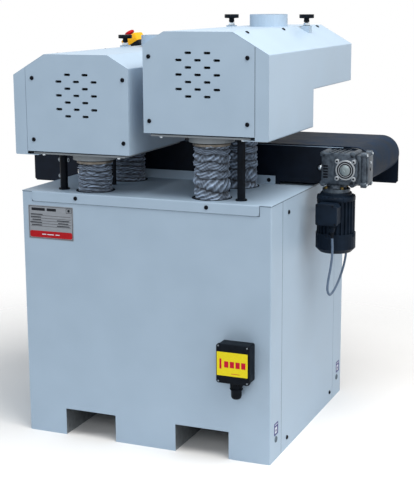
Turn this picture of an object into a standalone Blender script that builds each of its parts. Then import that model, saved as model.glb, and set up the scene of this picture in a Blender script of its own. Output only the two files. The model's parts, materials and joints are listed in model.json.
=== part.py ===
"""Two-head drum sander with a through-feed belt: cabinet, conveyor, two lifting heads and their drives.

Metres, +Z up. X runs along the feed (work travels to +X), Y runs from the front to the back.
The origin is on the floor, at the centre of the cabinet's footprint. The shapes are drawn with Y
counted from the cabinet's front face, and the last step moves the whole machine onto the origin.
"""
import math

import bmesh
import bpy
from mathutils import Matrix, Vector

# ---------------------------------------------------------------- driving sizes
GAP = 0.0003  # clearance between touching pieces
PANEL_GAP = 0.0009  # joint that shows between two painted sheets
FOLD_RADIUS = 0.004  # outside of a fold

# cabinet
CABINET_WIDTH = 0.900
CABINET_DEPTH = 0.810
CABINET_HEIGHT = 0.859
SHEET = 0.0025
RETURN_LENGTH = 0.110  # front and rear sheets turn this far round the sides
FORK_GAP = 0.224  # middle foot, between the two pockets
FORK_POCKET_WIDTH = 0.193
FORK_POCKET_HEIGHT = 0.095
TRAY_SHEET = 0.003
LIFT_HOLE_RADIUS = 0.005
LIFT_HOLE_HEIGHT = 0.071
LIFT_HOLE_INSET = 0.056

# lid
LID_SHEET = 0.003
LID_DEPTH = 0.4135
LID_FLANGE_INSET = 0.040  # flange ends from the cabinet's sides
LID_FLANGE_DROP = 0.0345
LID_FLANGE_CORNER = 0.010
UPSTAND_INSET_LEFT = 0.050  # upstand ends from the cabinet's sides
UPSTAND_INSET_RIGHT = 0.133
UPSTAND_HEIGHT = 0.031

# inner frame
FRAME_TUBE = 0.040
FRAME_INSET = 0.012
BEAM_TOP = 0.700

# mains terminal box on the cabinet's front
TERMINAL_INSET = 0.109  # box centre from the cabinet's right side
TERMINAL_CENTRE_Z = 0.347
TERMINAL_WIDTH = 0.110
TERMINAL_HEIGHT = 0.126
TERMINAL_DEPTH = 0.043
TERMINAL_LID_RIM = 0.0025
TERMINAL_LID_THICKNESS = 0.012
TERMINAL_WALL = 0.003
GLAND_NUT_RADIUS = 0.0205
GLAND_NUT_HEIGHT = 0.014
GLAND_DOME_RADIUS = 0.016
GLAND_LENGTH = 0.061

# conveyor
CONVEYOR_FRONT = 0.424  # outer face of the front plate
CONVEYOR_WIDTH = 0.402
CONVEYOR_PLATE = 0.006
ROLLER_OVERHANG = 0.141  # roller axes beyond the cabinet's sides
ROLLER_RISE = 0.0755  # roller axes above the lid
BELT_RADIUS = 0.065
BELT_THICKNESS = 0.0027
BELT_EDGE_CLEARANCE = 0.006
BELT_LIP = 0.004  # the belt stands above the plates' edge
PLATE_RISE = 0.011  # side plates above the lid
EAR_DROP = 0.037  # ears hang below the lid's top
EAR_CLEARANCE = 0.020  # from the cabinet's side
PLATE_FOOT_X = 0.300
PLATE_FOOT_WIDTH = 0.060
PLATE_CORNER = 0.008
ROLLER_SHAFT_RADIUS = 0.0125
BED_SHEET = 0.003
BED_FLANGE = 0.050
BED_END_CLEARANCE = 0.016

# worm gearbox and its hanging motor
GEARBOX_FRONT = 0.340
GEARBOX_LEFT = 0.079  # from the roller's axis
GEARBOX_RIGHT = 0.071
GEARBOX_HEIGHT = 0.119
GEARBOX_CORNER = 0.010
OUTPUT_FLANGE_RADIUS = 0.0335
OUTPUT_FLANGE_HEIGHT = 0.012
OUTPUT_EAR_OFFSET = 0.0285
OUTPUT_EAR_RADIUS = 0.008
OUTPUT_EAR_HOLE = 0.0035
SHAFT_CAP_RADIUS = 0.018
SHAFT_CAP_THICKNESS = 0.003
WORM_RADIUS = 0.010
WHEEL_RADIUS = 0.034
WHEEL_WIDTH = 0.032
MESH_CLEARANCE = 0.0005
GEAR_CAVITY_CLEARANCE = 0.005
INPUT_NECK_RADIUS = 0.036
INPUT_FLANGE_RADIUS = 0.047
INPUT_FLANGE_HEIGHT = 0.0165
MOTOR_FLANGE_RADIUS = 0.052
MOTOR_FLANGE_HEIGHT = 0.010
MOTOR_RADIUS = 0.0585
MOTOR_FIN_DEPTH = 0.006
MOTOR_FINS = 26
MOTOR_LENGTH = 0.140
ROTOR_SHAFT_RADIUS = 0.009
COWL_RADIUS = 0.068
COWL_HEIGHT = 0.066
COWL_OVERLAP = 0.012
COWL_WALL = 0.0025
COWL_BEVEL = 0.014
FAN_THICKNESS = 0.018
FAN_CLEARANCE = 0.008
MOTOR_BOX_WIDTH = 0.074
MOTOR_BOX_HEIGHT = 0.072
MOTOR_BOX_DEPTH = 0.052
MOTOR_BOX_CHAMFER = 0.012
MOTOR_BOX_DROP = 0.025  # below the motor's upper end
MOTOR_GLAND_RADIUS = 0.011
MOTOR_GLAND_LENGTH = 0.025
MOTOR_GLAND_SHIFT = 0.014
MOTOR_GLAND_Y = 0.290
CABLE_RADIUS = 0.004
CABLE_HOLE_Y = 0.490
CABLE_HOLE_RISE = 0.0344  # hole in the side panel above the gland's end
CABLE_INSIDE = 0.010

# heads
HEAD_GAP = 0.053  # between the two heads
HOOD_WIDTH = 0.0455  # outer part of each head
HEAD_OVERHANG = 0.0285  # in front of the cabinet
HEAD_BOX_BACK = 0.419  # back of the deep part that holds the motor
HEAD_BACK = 0.877
HEAD_HEIGHT = 0.320
HEAD_CHAMFER = 0.073
HEAD_CHAMFER_ANGLE = 30.0
HOOD_DROP = 0.0126
TUNNEL_CLEARANCE = 0.1157  # lower edge of the rear part above the cover's lower edge
OPENING_LEFT = 0.1068  # drum above the belt as the machine stands
OPENING_RIGHT = 0.1832
HEAD_SHEET = 0.002
HEAD_WALL = 0.0025
FLOOR_LIP = 0.034
HOOD_LIP = 0.040
PLATE_INSET_INNER = 0.020
PLATE_INSET_OUTER = 0.018
PLATE_INSET_FRONT = 0.010
DRUM_SHIFT = 0.001  # drum axis inward of the head's middle
DRUM_AXIS_HEIGHT = 0.1875
DRUM_RADIUS = 0.080
DRUM_SHAFT_RADIUS = 0.0125
DRUM_END_CLEARANCE = 0.014
SHAFT_HOLE_RADIUS = 0.032
DRUM_MOTOR_RADIUS = 0.078
DRUM_MOTOR_LENGTH = 0.260
DRUM_MOTOR_FLANGE_RADIUS = 0.100
DRUM_MOTOR_FLANGE = 0.012
BEARING_RADIUS = 0.036
BEARING_LENGTH = 0.026

# vent slots in the covers
VENT_LENGTH = 0.0205
VENT_WIDTH = 0.0062
VENT_PITCH_X = 0.0646
VENT_PITCH_Z = 0.0225
VENT_ROWS = 7

# dust spigot and pressure shoes
SPIGOT_Y = 0.620
SPIGOT_RADIUS = 0.0675
SPIGOT_HEIGHT = 0.042
SPIGOT_WALL = 0.002
SHOE_BEYOND_RIDGE = 0.026  # set screws stand this far down the slopes
SHOE_WIDTH = 0.030
SHOE_HEIGHT = 0.020
SHOE_END_CLEARANCE = 0.020
SHOE_BELOW_DRUM = 0.002
SHOE_BOSS_RADIUS = 0.011
SHOE_BOSS_HEIGHT = 0.030
BRACKET_WIDTH = 0.028
BRACKET_LENGTH = 0.034
BRACKET_RISE = 0.003
LOCK_NUT_HEIGHT = 0.010
KNOB_SCREW_RADIUS = 0.006
KNOB_STEM_RADIUS = 0.0085
KNOB_STEM_HEIGHT = 0.020
KNOB_RADIUS = 0.0258
KNOB_THICKNESS = 0.009

# lift
COLUMN_SHIFT = 0.002  # columns inward of the head's middle
COLUMN_FRONT_Y = 0.087
COLUMN_REAR_Y = 0.345
COLUMN_RADIUS = 0.025
COLUMN_LENGTH = 0.488
SCREW_RADIUS = 0.012
COLLAR_RADIUS = 0.074
COLLAR_HEIGHT = 0.022
UPSTAND_CLEARANCE = 0.003  # rear collars are flattened to pass the lid's upstand
BELLOWS_RADIUS = 0.0625
BELLOWS_BORE = 0.046
LID_HOLE_RADIUS = 0.065
GUIDE_BLOCK_WIDTH = 0.170
CABLE_TUBE_SHIFT = 0.108  # outward of the head's middle
CABLE_TUBE_Y = 0.0673
CABLE_TUBE_RADIUS = 0.013
CABLE_TUBE_WALL = 0.002
CABLE_TUBE_LENGTH = 0.240

# emergency stop on the left head
STOP_SIZE = 0.070
STOP_HEIGHT = 0.058
STOP_Y = 0.740
STOP_DOWN_SLOPE = 0.036
STOP_STEM_RADIUS = 0.010
STOP_STEM_SHOW = 0.008
STOP_STEM_DEPTH = 0.020
STOP_CAP_RADIUS = 0.0195
STOP_CAP_HEIGHT = 0.014

ROUND = 32  # sides of a medium round piece
ROLLER_SIDES = 48  # enough for the rollers to turn inside the belt

# ---------------------------------------------------------------- derived sizes
HALF_WIDTH = CABINET_WIDTH / 2
LID_TOP = CABINET_HEIGHT
UPSTAND_LEFT = UPSTAND_INSET_LEFT - HALF_WIDTH
UPSTAND_RIGHT = HALF_WIDTH - UPSTAND_INSET_RIGHT
TERMINAL_CENTRE_X = HALF_WIDTH - TERMINAL_INSET
ROLLER_HEIGHT = LID_TOP + ROLLER_RISE
PLATE_BOTTOM = LID_TOP + PLATE_RISE
EAR_BOTTOM = LID_TOP - EAR_DROP
EAR_START = HALF_WIDTH + EAR_CLEARANCE
SHEET_TOP = CABINET_HEIGHT - LID_SHEET - GAP
POCKET_INNER = FORK_GAP / 2
POCKET_OUTER = POCKET_INNER + FORK_POCKET_WIDTH
CONVEYOR_BACK = CONVEYOR_FRONT + CONVEYOR_WIDTH
BELT_FRONT = CONVEYOR_FRONT + CONVEYOR_PLATE + BELT_EDGE_CLEARANCE
BELT_BACK = CONVEYOR_BACK - CONVEYOR_PLATE - BELT_EDGE_CLEARANCE
ROLLER_X = HALF_WIDTH + ROLLER_OVERHANG
ROLLER_RADIUS = BELT_RADIUS - BELT_THICKNESS - GAP
PLATE_RADIUS = BELT_RADIUS - BELT_LIP
GEARBOX_BACK = CONVEYOR_FRONT - GAP
WORM_Y = (GEARBOX_FRONT + GEARBOX_BACK) / 2
WORM_X = ROLLER_X - WHEEL_RADIUS - WORM_RADIUS - MESH_CLEARANCE
GEARBOX_BOTTOM = ROLLER_HEIGHT - GEARBOX_HEIGHT / 2
GEARBOX_TOP = ROLLER_HEIGHT + GEARBOX_HEIGHT / 2
INPUT_FLANGE_TOP = PLATE_BOTTOM - 2 * GAP
INPUT_FLANGE_BOTTOM = INPUT_FLANGE_TOP - INPUT_FLANGE_HEIGHT
MOTOR_TOP = INPUT_FLANGE_BOTTOM - GAP
MOTOR_BOTTOM = MOTOR_TOP - MOTOR_FLANGE_HEIGHT - MOTOR_LENGTH
COWL_TOP = MOTOR_BOTTOM + COWL_OVERLAP
COWL_BOTTOM = COWL_TOP - COWL_HEIGHT
MOTOR_BOX_BACK = WORM_Y - MOTOR_RADIUS - MOTOR_FIN_DEPTH - GAP
MOTOR_BOX_FRONT = MOTOR_BOX_BACK - MOTOR_BOX_DEPTH
MOTOR_BOX_TOP = MOTOR_TOP - MOTOR_BOX_DROP
MOTOR_BOX_BOTTOM = MOTOR_BOX_TOP - MOTOR_BOX_HEIGHT
MOTOR_GLAND_X = WORM_X + MOTOR_GLAND_SHIFT
MOTOR_GLAND_BOTTOM = MOTOR_BOX_BOTTOM - MOTOR_GLAND_LENGTH
CABLE_HOLE_Z = MOTOR_GLAND_BOTTOM + CABLE_HOLE_RISE
TERMINAL_FRONT = -TERMINAL_DEPTH - GAP
LID_FRONT = -LID_SHEET - GAP

HEAD_INNER = HEAD_GAP / 2
HEAD_SEAM = HALF_WIDTH - HOOD_WIDTH
HEAD_FRONT = -HEAD_OVERHANG
SLOPE = math.tan(math.radians(HEAD_CHAMFER_ANGLE))
SHEET_ON_SLOPE = HEAD_SHEET / math.cos(math.radians(HEAD_CHAMFER_ANGLE))
RIDGE_INNER = HEAD_INNER + HEAD_CHAMFER
RIDGE_OUTER = HEAD_SEAM - HEAD_CHAMFER
HEAD_MIDDLE = (HEAD_INNER + HEAD_SEAM) / 2
DRUM_AXIS_OFFSET = HEAD_MIDDLE - DRUM_SHIFT
COLUMN_OFFSET_X = HEAD_MIDDLE - COLUMN_SHIFT
CABLE_TUBE_X = HEAD_MIDDLE + CABLE_TUBE_SHIFT
TUNNEL_BACK = HEAD_BACK - HEAD_WALL
LIFT_PLATE_TOP = -GAP
LIFT_PLATE_BOTTOM = -HOOD_DROP + HEAD_SHEET + GAP
COLLAR_BOTTOM = LIFT_PLATE_BOTTOM - COLLAR_HEIGHT
COLUMN_MIDDLE_Y = (COLUMN_FRONT_Y + COLUMN_REAR_Y) / 2
GUIDE_TOP = CABINET_HEIGHT - LID_SHEET - 2 * SHEET
MOTOR_WALL_FRONT = HEAD_BOX_BACK - HEAD_WALL
DRUM_FRONT = HEAD_BOX_BACK + DRUM_END_CLEARANCE
BEARING_FRONT = TUNNEL_BACK - GAP - BEARING_LENGTH
DRUM_REAR = BEARING_FRONT - DRUM_END_CLEARANCE
SHOE_BOTTOM = DRUM_AXIS_HEIGHT - DRUM_RADIUS - SHOE_BELOW_DRUM
SHOE_BOSS_TOP = SHOE_BOTTOM + SHOE_HEIGHT + SHOE_BOSS_HEIGHT
BRACKET_TOP = HEAD_HEIGHT + BRACKET_RISE
STEM_BOTTOM = BRACKET_TOP + LOCK_NUT_HEIGHT
COVER_BACK = HEAD_FRONT + HEAD_SHEET
UNDER_PLATE = LIFT_PLATE_BOTTOM - GAP
HEAD_ON_BELT = ROLLER_HEIGHT + BELT_RADIUS + DRUM_RADIUS - DRUM_AXIS_HEIGHT
HEADS = {"left": (-1, HEAD_ON_BELT + OPENING_LEFT), "right": (1, HEAD_ON_BELT + OPENING_RIGHT)}


# ---------------------------------------------------------------- shapes
def prism(points, axis, low, high):
    """A closed outline extruded along an axis; points are the other two coordinates in X, Y, Z order."""
    bm = bmesh.new()
    order = {"X": (2, 0, 1), "Y": (0, 2, 1), "Z": (0, 1, 2)}[axis]
    verts = [bm.verts.new([(u, v, low)[i] for i in order]) for u, v in points]
    face = bm.faces.new(verts)
    grown = bmesh.ops.extrude_face_region(bm, geom=[face])["geom"]
    step = Vector([(0.0, 0.0, high - low)[i] for i in order])
    moved = [item for item in grown if isinstance(item, bmesh.types.BMVert)]
    bmesh.ops.translate(bm, vec=step, verts=moved)
    bmesh.ops.recalc_face_normals(bm, faces=bm.faces)
    return bm


def block(x0, x1, y0, y1, z0, z1):
    """A rectangular block between its limits."""
    left, right = sorted((x0, x1))
    return prism([(left, y0), (right, y0), (right, y1), (left, y1)], "Z", z0, z1)


def circle(centre, radius, sides=ROUND, start=0.0, sweep=360.0):
    """Points on an arc, or on a full circle when sweep is 360."""
    steps = sides if sweep == 360.0 else sides + 1
    turns = [math.radians(start + sweep * i / sides) for i in range(steps)]
    return [(centre[0] + radius * math.cos(a), centre[1] + radius * math.sin(a)) for a in turns]


def rod(centre, radius, axis, low, high, sides=ROUND):
    """A round bar along an axis; centre gives the other two coordinates."""
    return prism(circle(centre, radius, sides), axis, low, high)


def rounded(points, radius=FOLD_RADIUS, closed=True, steps=3):
    """The outline with each corner turned into an arc of short chords; an open path keeps its two ends."""
    result = []
    for i, point in enumerate(points):
        here = Vector(point)
        if not closed and i in (0, len(points) - 1):
            result.append(point)
            continue
        before = (Vector(points[i - 1]) - here).normalized()
        after = (Vector(points[(i + 1) % len(points)]) - here).normalized()
        half = before.angle(after) / 2
        centre = here + (before + after).normalized() * (radius / math.sin(half))
        start = here + before * (radius / math.tan(half)) - centre
        turn = start.angle_signed(here + after * (radius / math.tan(half)) - centre)
        for k in range(steps + 1):
            spoke = start.copy()
            spoke.rotate(Matrix.Rotation(-turn * k / steps, 2))
            result.append(tuple(centre + spoke))
    return result


def ribbon(path, thickness):
    """Outline of a folded sheet: an open path, thickened to its left."""
    left = []
    for i, point in enumerate(path):
        normals = []
        for a, b in ((i - 1, i), (i, i + 1)):
            if 0 <= a and b < len(path):
                run = Vector(path[b]) - Vector(path[a])
                normals.append(Vector((-run.y, run.x)).normalized())
        middle = (normals[0] + normals[-1]).normalized()
        reach = thickness / middle.dot(normals[0])
        left.append((point[0] + middle.x * reach, point[1] + middle.y * reach))
    return list(path) + left[::-1]


def merged(*shapes):
    """Several separate bodies in one mesh, for a cutter with many cuts."""
    whole = bmesh.new()
    for shape in shapes:
        mesh = bpy.data.meshes.new("piece")
        shape.to_mesh(mesh)
        whole.from_mesh(mesh)
        bpy.data.meshes.remove(mesh)
        shape.free()
    return whole


# ---------------------------------------------------------------- objects
def paint(name, colour, roughness, metallic=0.0):
    """A Principled material from an sRGB hex colour."""
    material = bpy.data.materials.new(name)
    material.use_nodes = True
    channels = [int(colour[i : i + 2], 16) / 255 for i in (0, 2, 4)]
    linear = [c / 12.92 if c <= 0.04045 else ((c + 0.055) / 1.055) ** 2.4 for c in channels]
    shader = material.node_tree.nodes["Principled BSDF"]
    shader.inputs["Base Color"].default_value = (*linear, 1.0)
    shader.inputs["Roughness"].default_value = roughness
    shader.inputs["Metallic"].default_value = metallic
    material.diffuse_color = (*linear, 1.0)
    return material


def place(name, bm, material, origin=(0, 0, 0), parent=None):
    """Makes an object whose origin is at a world point, from a shape in world coordinates."""
    bmesh.ops.translate(bm, vec=-Vector(origin), verts=bm.verts)
    mesh = bpy.data.meshes.new(name)
    bm.to_mesh(mesh)
    bm.free()
    mesh.materials.append(material)
    mesh.shade_smooth()
    mesh.set_sharp_from_angle(angle=math.radians(35))
    obj = bpy.data.objects.new(name, mesh)
    bpy.context.collection.objects.link(obj)
    obj.location = origin
    if parent:
        obj.parent = parent
        obj.location = Vector(origin) - parent.location
    return obj


def carve(obj, bm, operation="DIFFERENCE"):
    """Cuts a shape in world coordinates out of an object, or adds it to the object."""
    count = len(obj.modifiers)
    guide = place(f"{obj.name}_guide_{count}", bm, obj.data.materials[0])
    guide.hide_render = True
    guide.display_type = "WIRE"
    modifier = obj.modifiers.new(f"{operation.lower()}_{count}", "BOOLEAN")
    modifier.operation = operation
    modifier.solver = "EXACT"
    modifier.object = guide


def add(obj, *shapes):
    for shape in shapes:
        carve(obj, shape, "UNION")


def carrier(name, location):
    """An empty that carries the pieces of one moving body."""
    empty = bpy.data.objects.new(name, None)
    bpy.context.collection.objects.link(empty)
    empty.location = location
    return empty


# ---------------------------------------------------------------- cabinet
def pocket_cutter(y0, y1):
    """Both fork pockets, from below the floor to their roof."""
    sides = [(-POCKET_OUTER, -POCKET_INNER), (POCKET_INNER, POCKET_OUTER)]
    return merged(*(block(a, b, y0, y1, -SHEET, FORK_POCKET_HEIGHT) for a, b in sides))


def lift_hole_cutter(y):
    reach = HALF_WIDTH + SHEET
    return rod((y, LIFT_HOLE_HEIGHT), LIFT_HOLE_RADIUS, "X", -reach, reach, 16)


def cabinet(colour):
    front_path = [(-HALF_WIDTH, RETURN_LENGTH), (-HALF_WIDTH, 0)]
    front_path += [(-x, y) for x, y in reversed(front_path)]
    front_path = rounded(front_path, closed=False)
    front = place("cabinet_front", prism(ribbon(front_path, SHEET), "Z", 0, SHEET_TOP), colour)
    carve(front, pocket_cutter(-SHEET, 2 * SHEET))
    carve(front, lift_hole_cutter(LIFT_HOLE_INSET))

    rear_path = [(x, CABINET_DEPTH - y) for x, y in reversed(front_path)]
    rear = place("cabinet_rear", prism(ribbon(rear_path, SHEET), "Z", 0, SHEET_TOP), colour)
    deck_bottom = SHEET_TOP + GAP
    rear_inside = CABINET_DEPTH - SHEET
    add(rear, block(-HALF_WIDTH, HALF_WIDTH, LID_DEPTH + GAP, CABINET_DEPTH, deck_bottom, LID_TOP))
    add(rear, block(-HALF_WIDTH, HALF_WIDTH, rear_inside, CABINET_DEPTH, SHEET_TOP - SHEET, LID_TOP))
    carve(rear, pocket_cutter(CABINET_DEPTH - 2 * SHEET, CABINET_DEPTH + SHEET))
    carve(rear, lift_hole_cutter(CABINET_DEPTH - LIFT_HOLE_INSET))

    for side, name in ((-1, "side_panel_left"), (1, "side_panel_right")):
        panel = block(
            side * (HALF_WIDTH - SHEET), side * HALF_WIDTH,
            RETURN_LENGTH + PANEL_GAP, CABINET_DEPTH - RETURN_LENGTH - PANEL_GAP, 0, SHEET_TOP,
        )
        obj = place(name, panel, colour)
        if side > 0:
            near, far = HALF_WIDTH - 2 * SHEET, HALF_WIDTH + SHEET
            carve(obj, rod((CABLE_HOLE_Y, CABLE_HOLE_Z), CABLE_RADIUS + GAP, "X", near, far, 16))


def lid(colour):
    """Top sheet over the lift, with a front flange, an upstand at the conveyor and the lift's holes."""
    half, low, r = HALF_WIDTH - LID_FLANGE_INSET, LID_TOP - LID_FLANGE_DROP, LID_FLANGE_CORNER
    fold = [(LID_DEPTH, LID_TOP), (LID_FRONT, LID_TOP), (LID_FRONT, low)]
    fold = rounded(fold, LID_SHEET + 2 * GAP, closed=False)
    obj = place("cabinet_lid", prism(ribbon(fold, LID_SHEET), "X", -half, half), colour)
    add(obj, block(-HALF_WIDTH, HALF_WIDTH, 0, LID_DEPTH, LID_TOP - LID_SHEET, LID_TOP))
    corner = [(half + r, low - r), (half + r, low + r)] + circle((half - r, low + r), r, 6, 0, -90)
    corner.append((half - r, low - r))
    for side in (-1, 1):
        carve(obj, prism([(side * x, z) for x, z in corner], "Y", 2 * LID_FRONT, 0))
    add(obj, block(UPSTAND_LEFT, UPSTAND_RIGHT, LID_DEPTH - SHEET, LID_DEPTH, LID_TOP - LID_SHEET / 2,
                   LID_TOP + UPSTAND_HEIGHT))
    low, high = LID_TOP - 2 * LID_SHEET, LID_TOP + LID_SHEET
    for side, _ in HEADS.values():
        for y in (COLUMN_FRONT_Y, COLUMN_REAR_Y):
            carve(obj, rod((side * COLUMN_OFFSET_X, y), LID_HOLE_RADIUS, "Z", low, high))
        carve(obj, rod((side * COLUMN_OFFSET_X, COLUMN_MIDDLE_Y), SCREW_RADIUS + GAP, "Z", low, high, 24))
        carve(obj, rod((side * CABLE_TUBE_X, CABLE_TUBE_Y), CABLE_TUBE_RADIUS + GAP, "Z", low, high, 20))


def base_tray(colour):
    edge = HALF_WIDTH - FOLD_RADIUS
    right = [(POCKET_INNER, 0), (POCKET_INNER, FORK_POCKET_HEIGHT), (POCKET_OUTER, FORK_POCKET_HEIGHT),
             (POCKET_OUTER, 0), (edge, 0)]
    left = [(-x, z) for x, z in reversed(right)]
    outline = ribbon(left + right, TRAY_SHEET)
    place("base_tray", prism(outline, "Y", SHEET + GAP, CABINET_DEPTH - SHEET - GAP), colour)


def inner_frame(colour):
    outer = HALF_WIDTH - FRAME_INSET
    front, back = FRAME_INSET, CABINET_DEPTH - FRAME_INSET
    floor, low = TRAY_SHEET + GAP, BEAM_TOP - FRAME_TUBE
    middle = guide_back() - FRAME_TUBE
    obj = place("inner_frame", block(-outer, outer, front, front + FRAME_TUBE, low, BEAM_TOP), colour)
    for y in (middle, back - FRAME_TUBE):
        add(obj, block(-outer, outer, y, y + FRAME_TUBE, low, BEAM_TOP))
    for side in (-1, 1):
        inside = side * (outer - FRAME_TUBE)
        add(obj, block(side * outer, inside, front, back, low, BEAM_TOP))
        for y in (front, back - FRAME_TUBE):
            add(obj, block(side * outer, inside, y, y + FRAME_TUBE, floor, BEAM_TOP))


def guide_back():
    """Rear face of the guide blocks: past the rear columns, under the conveyor's front plate."""
    return COLUMN_REAR_Y + BELLOWS_RADIUS + 2 * FRAME_INSET


def terminal_box(black):
    half_w, half_h = TERMINAL_WIDTH / 2, TERMINAL_HEIGHT / 2
    left, right = TERMINAL_CENTRE_X - half_w, TERMINAL_CENTRE_X + half_w
    low, high = TERMINAL_CENTRE_Z - half_h, TERMINAL_CENTRE_Z + half_h
    box = place("terminal_box", block(left, right, TERMINAL_FRONT, -GAP, low, high), black)
    wall = TERMINAL_WALL
    middle_y = -GAP - TERMINAL_DEPTH / 2
    centre = (TERMINAL_CENTRE_X, middle_y)
    add(box, rod(centre, GLAND_NUT_RADIUS, "Z", low - GLAND_NUT_HEIGHT, low + wall / 2, 24))
    add(box, rod(centre, GLAND_DOME_RADIUS, "Z", low - GLAND_LENGTH, low + wall / 2, 24))
    carve(box, block(left + wall, right - wall, TERMINAL_FRONT - wall, -GAP - wall, low + wall, high - wall))
    rim = TERMINAL_LID_RIM
    cover_back = TERMINAL_FRONT - GAP
    cover_front = cover_back - TERMINAL_LID_THICKNESS
    cover = block(left - rim, right + rim, cover_front, cover_back, low - rim, high + rim)
    edges = [e for e in cover.edges if abs(e.verts[0].co.y - e.verts[1].co.y) > wall]
    bmesh.ops.bevel(cover, geom=edges, offset=2 * rim, segments=3, profile=0.5, affect="EDGES")
    place("terminal_box_lid", cover, black)


# ---------------------------------------------------------------- conveyor
def plate_outline(ears):
    """Side plate seen from the front, clockwise; ears hang down beside the cabinet."""
    r = PLATE_RADIUS
    end = ROLLER_X + r
    foot = PLATE_FOOT_WIDTH / 2
    points = circle((-ROLLER_X, ROLLER_HEIGHT), r, 10, 180, -90)
    points += circle((ROLLER_X, ROLLER_HEIGHT), r, 10, 90, -90)
    for side in (1, -1):
        low = EAR_BOTTOM if side in ears else PLATE_BOTTOM
        corner = [(end, low + PLATE_CORNER), (end - PLATE_CORNER, low)]
        if side in ears:
            corner += [(EAR_START, low), (EAR_START, PLATE_BOTTOM)]
        seat = [(PLATE_FOOT_X + foot, PLATE_BOTTOM), (PLATE_FOOT_X + foot, LID_TOP + GAP),
                (PLATE_FOOT_X - foot, LID_TOP + GAP), (PLATE_FOOT_X - foot, PLATE_BOTTOM)]
        half = [(side * x, z) for x, z in corner + seat]
        points += half if side > 0 else half[::-1]
    return points


def conveyor_plates(navy):
    spans = {"conveyor_plate_front": (CONVEYOR_FRONT, (-1,)),
             "conveyor_plate_rear": (CONVEYOR_BACK - CONVEYOR_PLATE, (-1, 1))}
    for name, (front, ears) in spans.items():
        plate = place(name, prism(plate_outline(ears), "Y", front, front + CONVEYOR_PLATE), navy)
        for side in (-1, 1):
            carve(plate, rod((side * ROLLER_X, ROLLER_HEIGHT), ROLLER_SHAFT_RADIUS + GAP, "Y",
                             front - CONVEYOR_PLATE, front + 2 * CONVEYOR_PLATE, 24))


def stadium(radius):
    """Outline of the belt's loop round both rollers."""
    right = circle((ROLLER_X, ROLLER_HEIGHT), radius, ROLLER_SIDES // 2, -90, 180)
    left = circle((-ROLLER_X, ROLLER_HEIGHT), radius, ROLLER_SIDES // 2, 90, 180)
    return right + left


def conveyor_belt(rubber):
    belt = place("conveyor_belt", prism(stadium(BELT_RADIUS), "Y", BELT_FRONT, BELT_BACK), rubber)
    carve(belt, prism(stadium(BELT_RADIUS - BELT_THICKNESS), "Y", BELT_FRONT - 0.01, BELT_BACK + 0.01))


def slider_bed(navy):
    half = ROLLER_X - ROLLER_RADIUS - BED_END_CLEARANCE
    top = ROLLER_HEIGHT + ROLLER_RADIUS
    front, back = CONVEYOR_FRONT + CONVEYOR_PLATE + GAP, CONVEYOR_BACK - CONVEYOR_PLATE - GAP
    path = [(back, top - BED_FLANGE), (back, top), (front, top), (front, top - BED_FLANGE)]
    place("slider_bed", prism(ribbon(path, BED_SHEET), "X", -half, half), navy)


def roller(name, x, steel, shaft_front, cap=False):
    """A belt roller with its shaft; the drive roller's shaft runs on through the gearbox."""
    origin = (x, (BELT_FRONT + BELT_BACK) / 2, ROLLER_HEIGHT)
    axle = carrier(f"{name}_axis", origin)
    centre = (x, ROLLER_HEIGHT)
    drum = rod(centre, ROLLER_RADIUS, "Y", BELT_FRONT + GAP, BELT_BACK - GAP, ROLLER_SIDES)
    obj = place(name, drum, steel, origin, axle)
    add(obj, rod(centre, ROLLER_SHAFT_RADIUS, "Y", shaft_front, CONVEYOR_BACK, 24))
    if cap:
        cap_front = shaft_front - SHAFT_CAP_THICKNESS
        add(obj, rod(centre, SHAFT_CAP_RADIUS, "Y", cap_front, shaft_front + GAP / 2, 24))
    return axle


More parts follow.
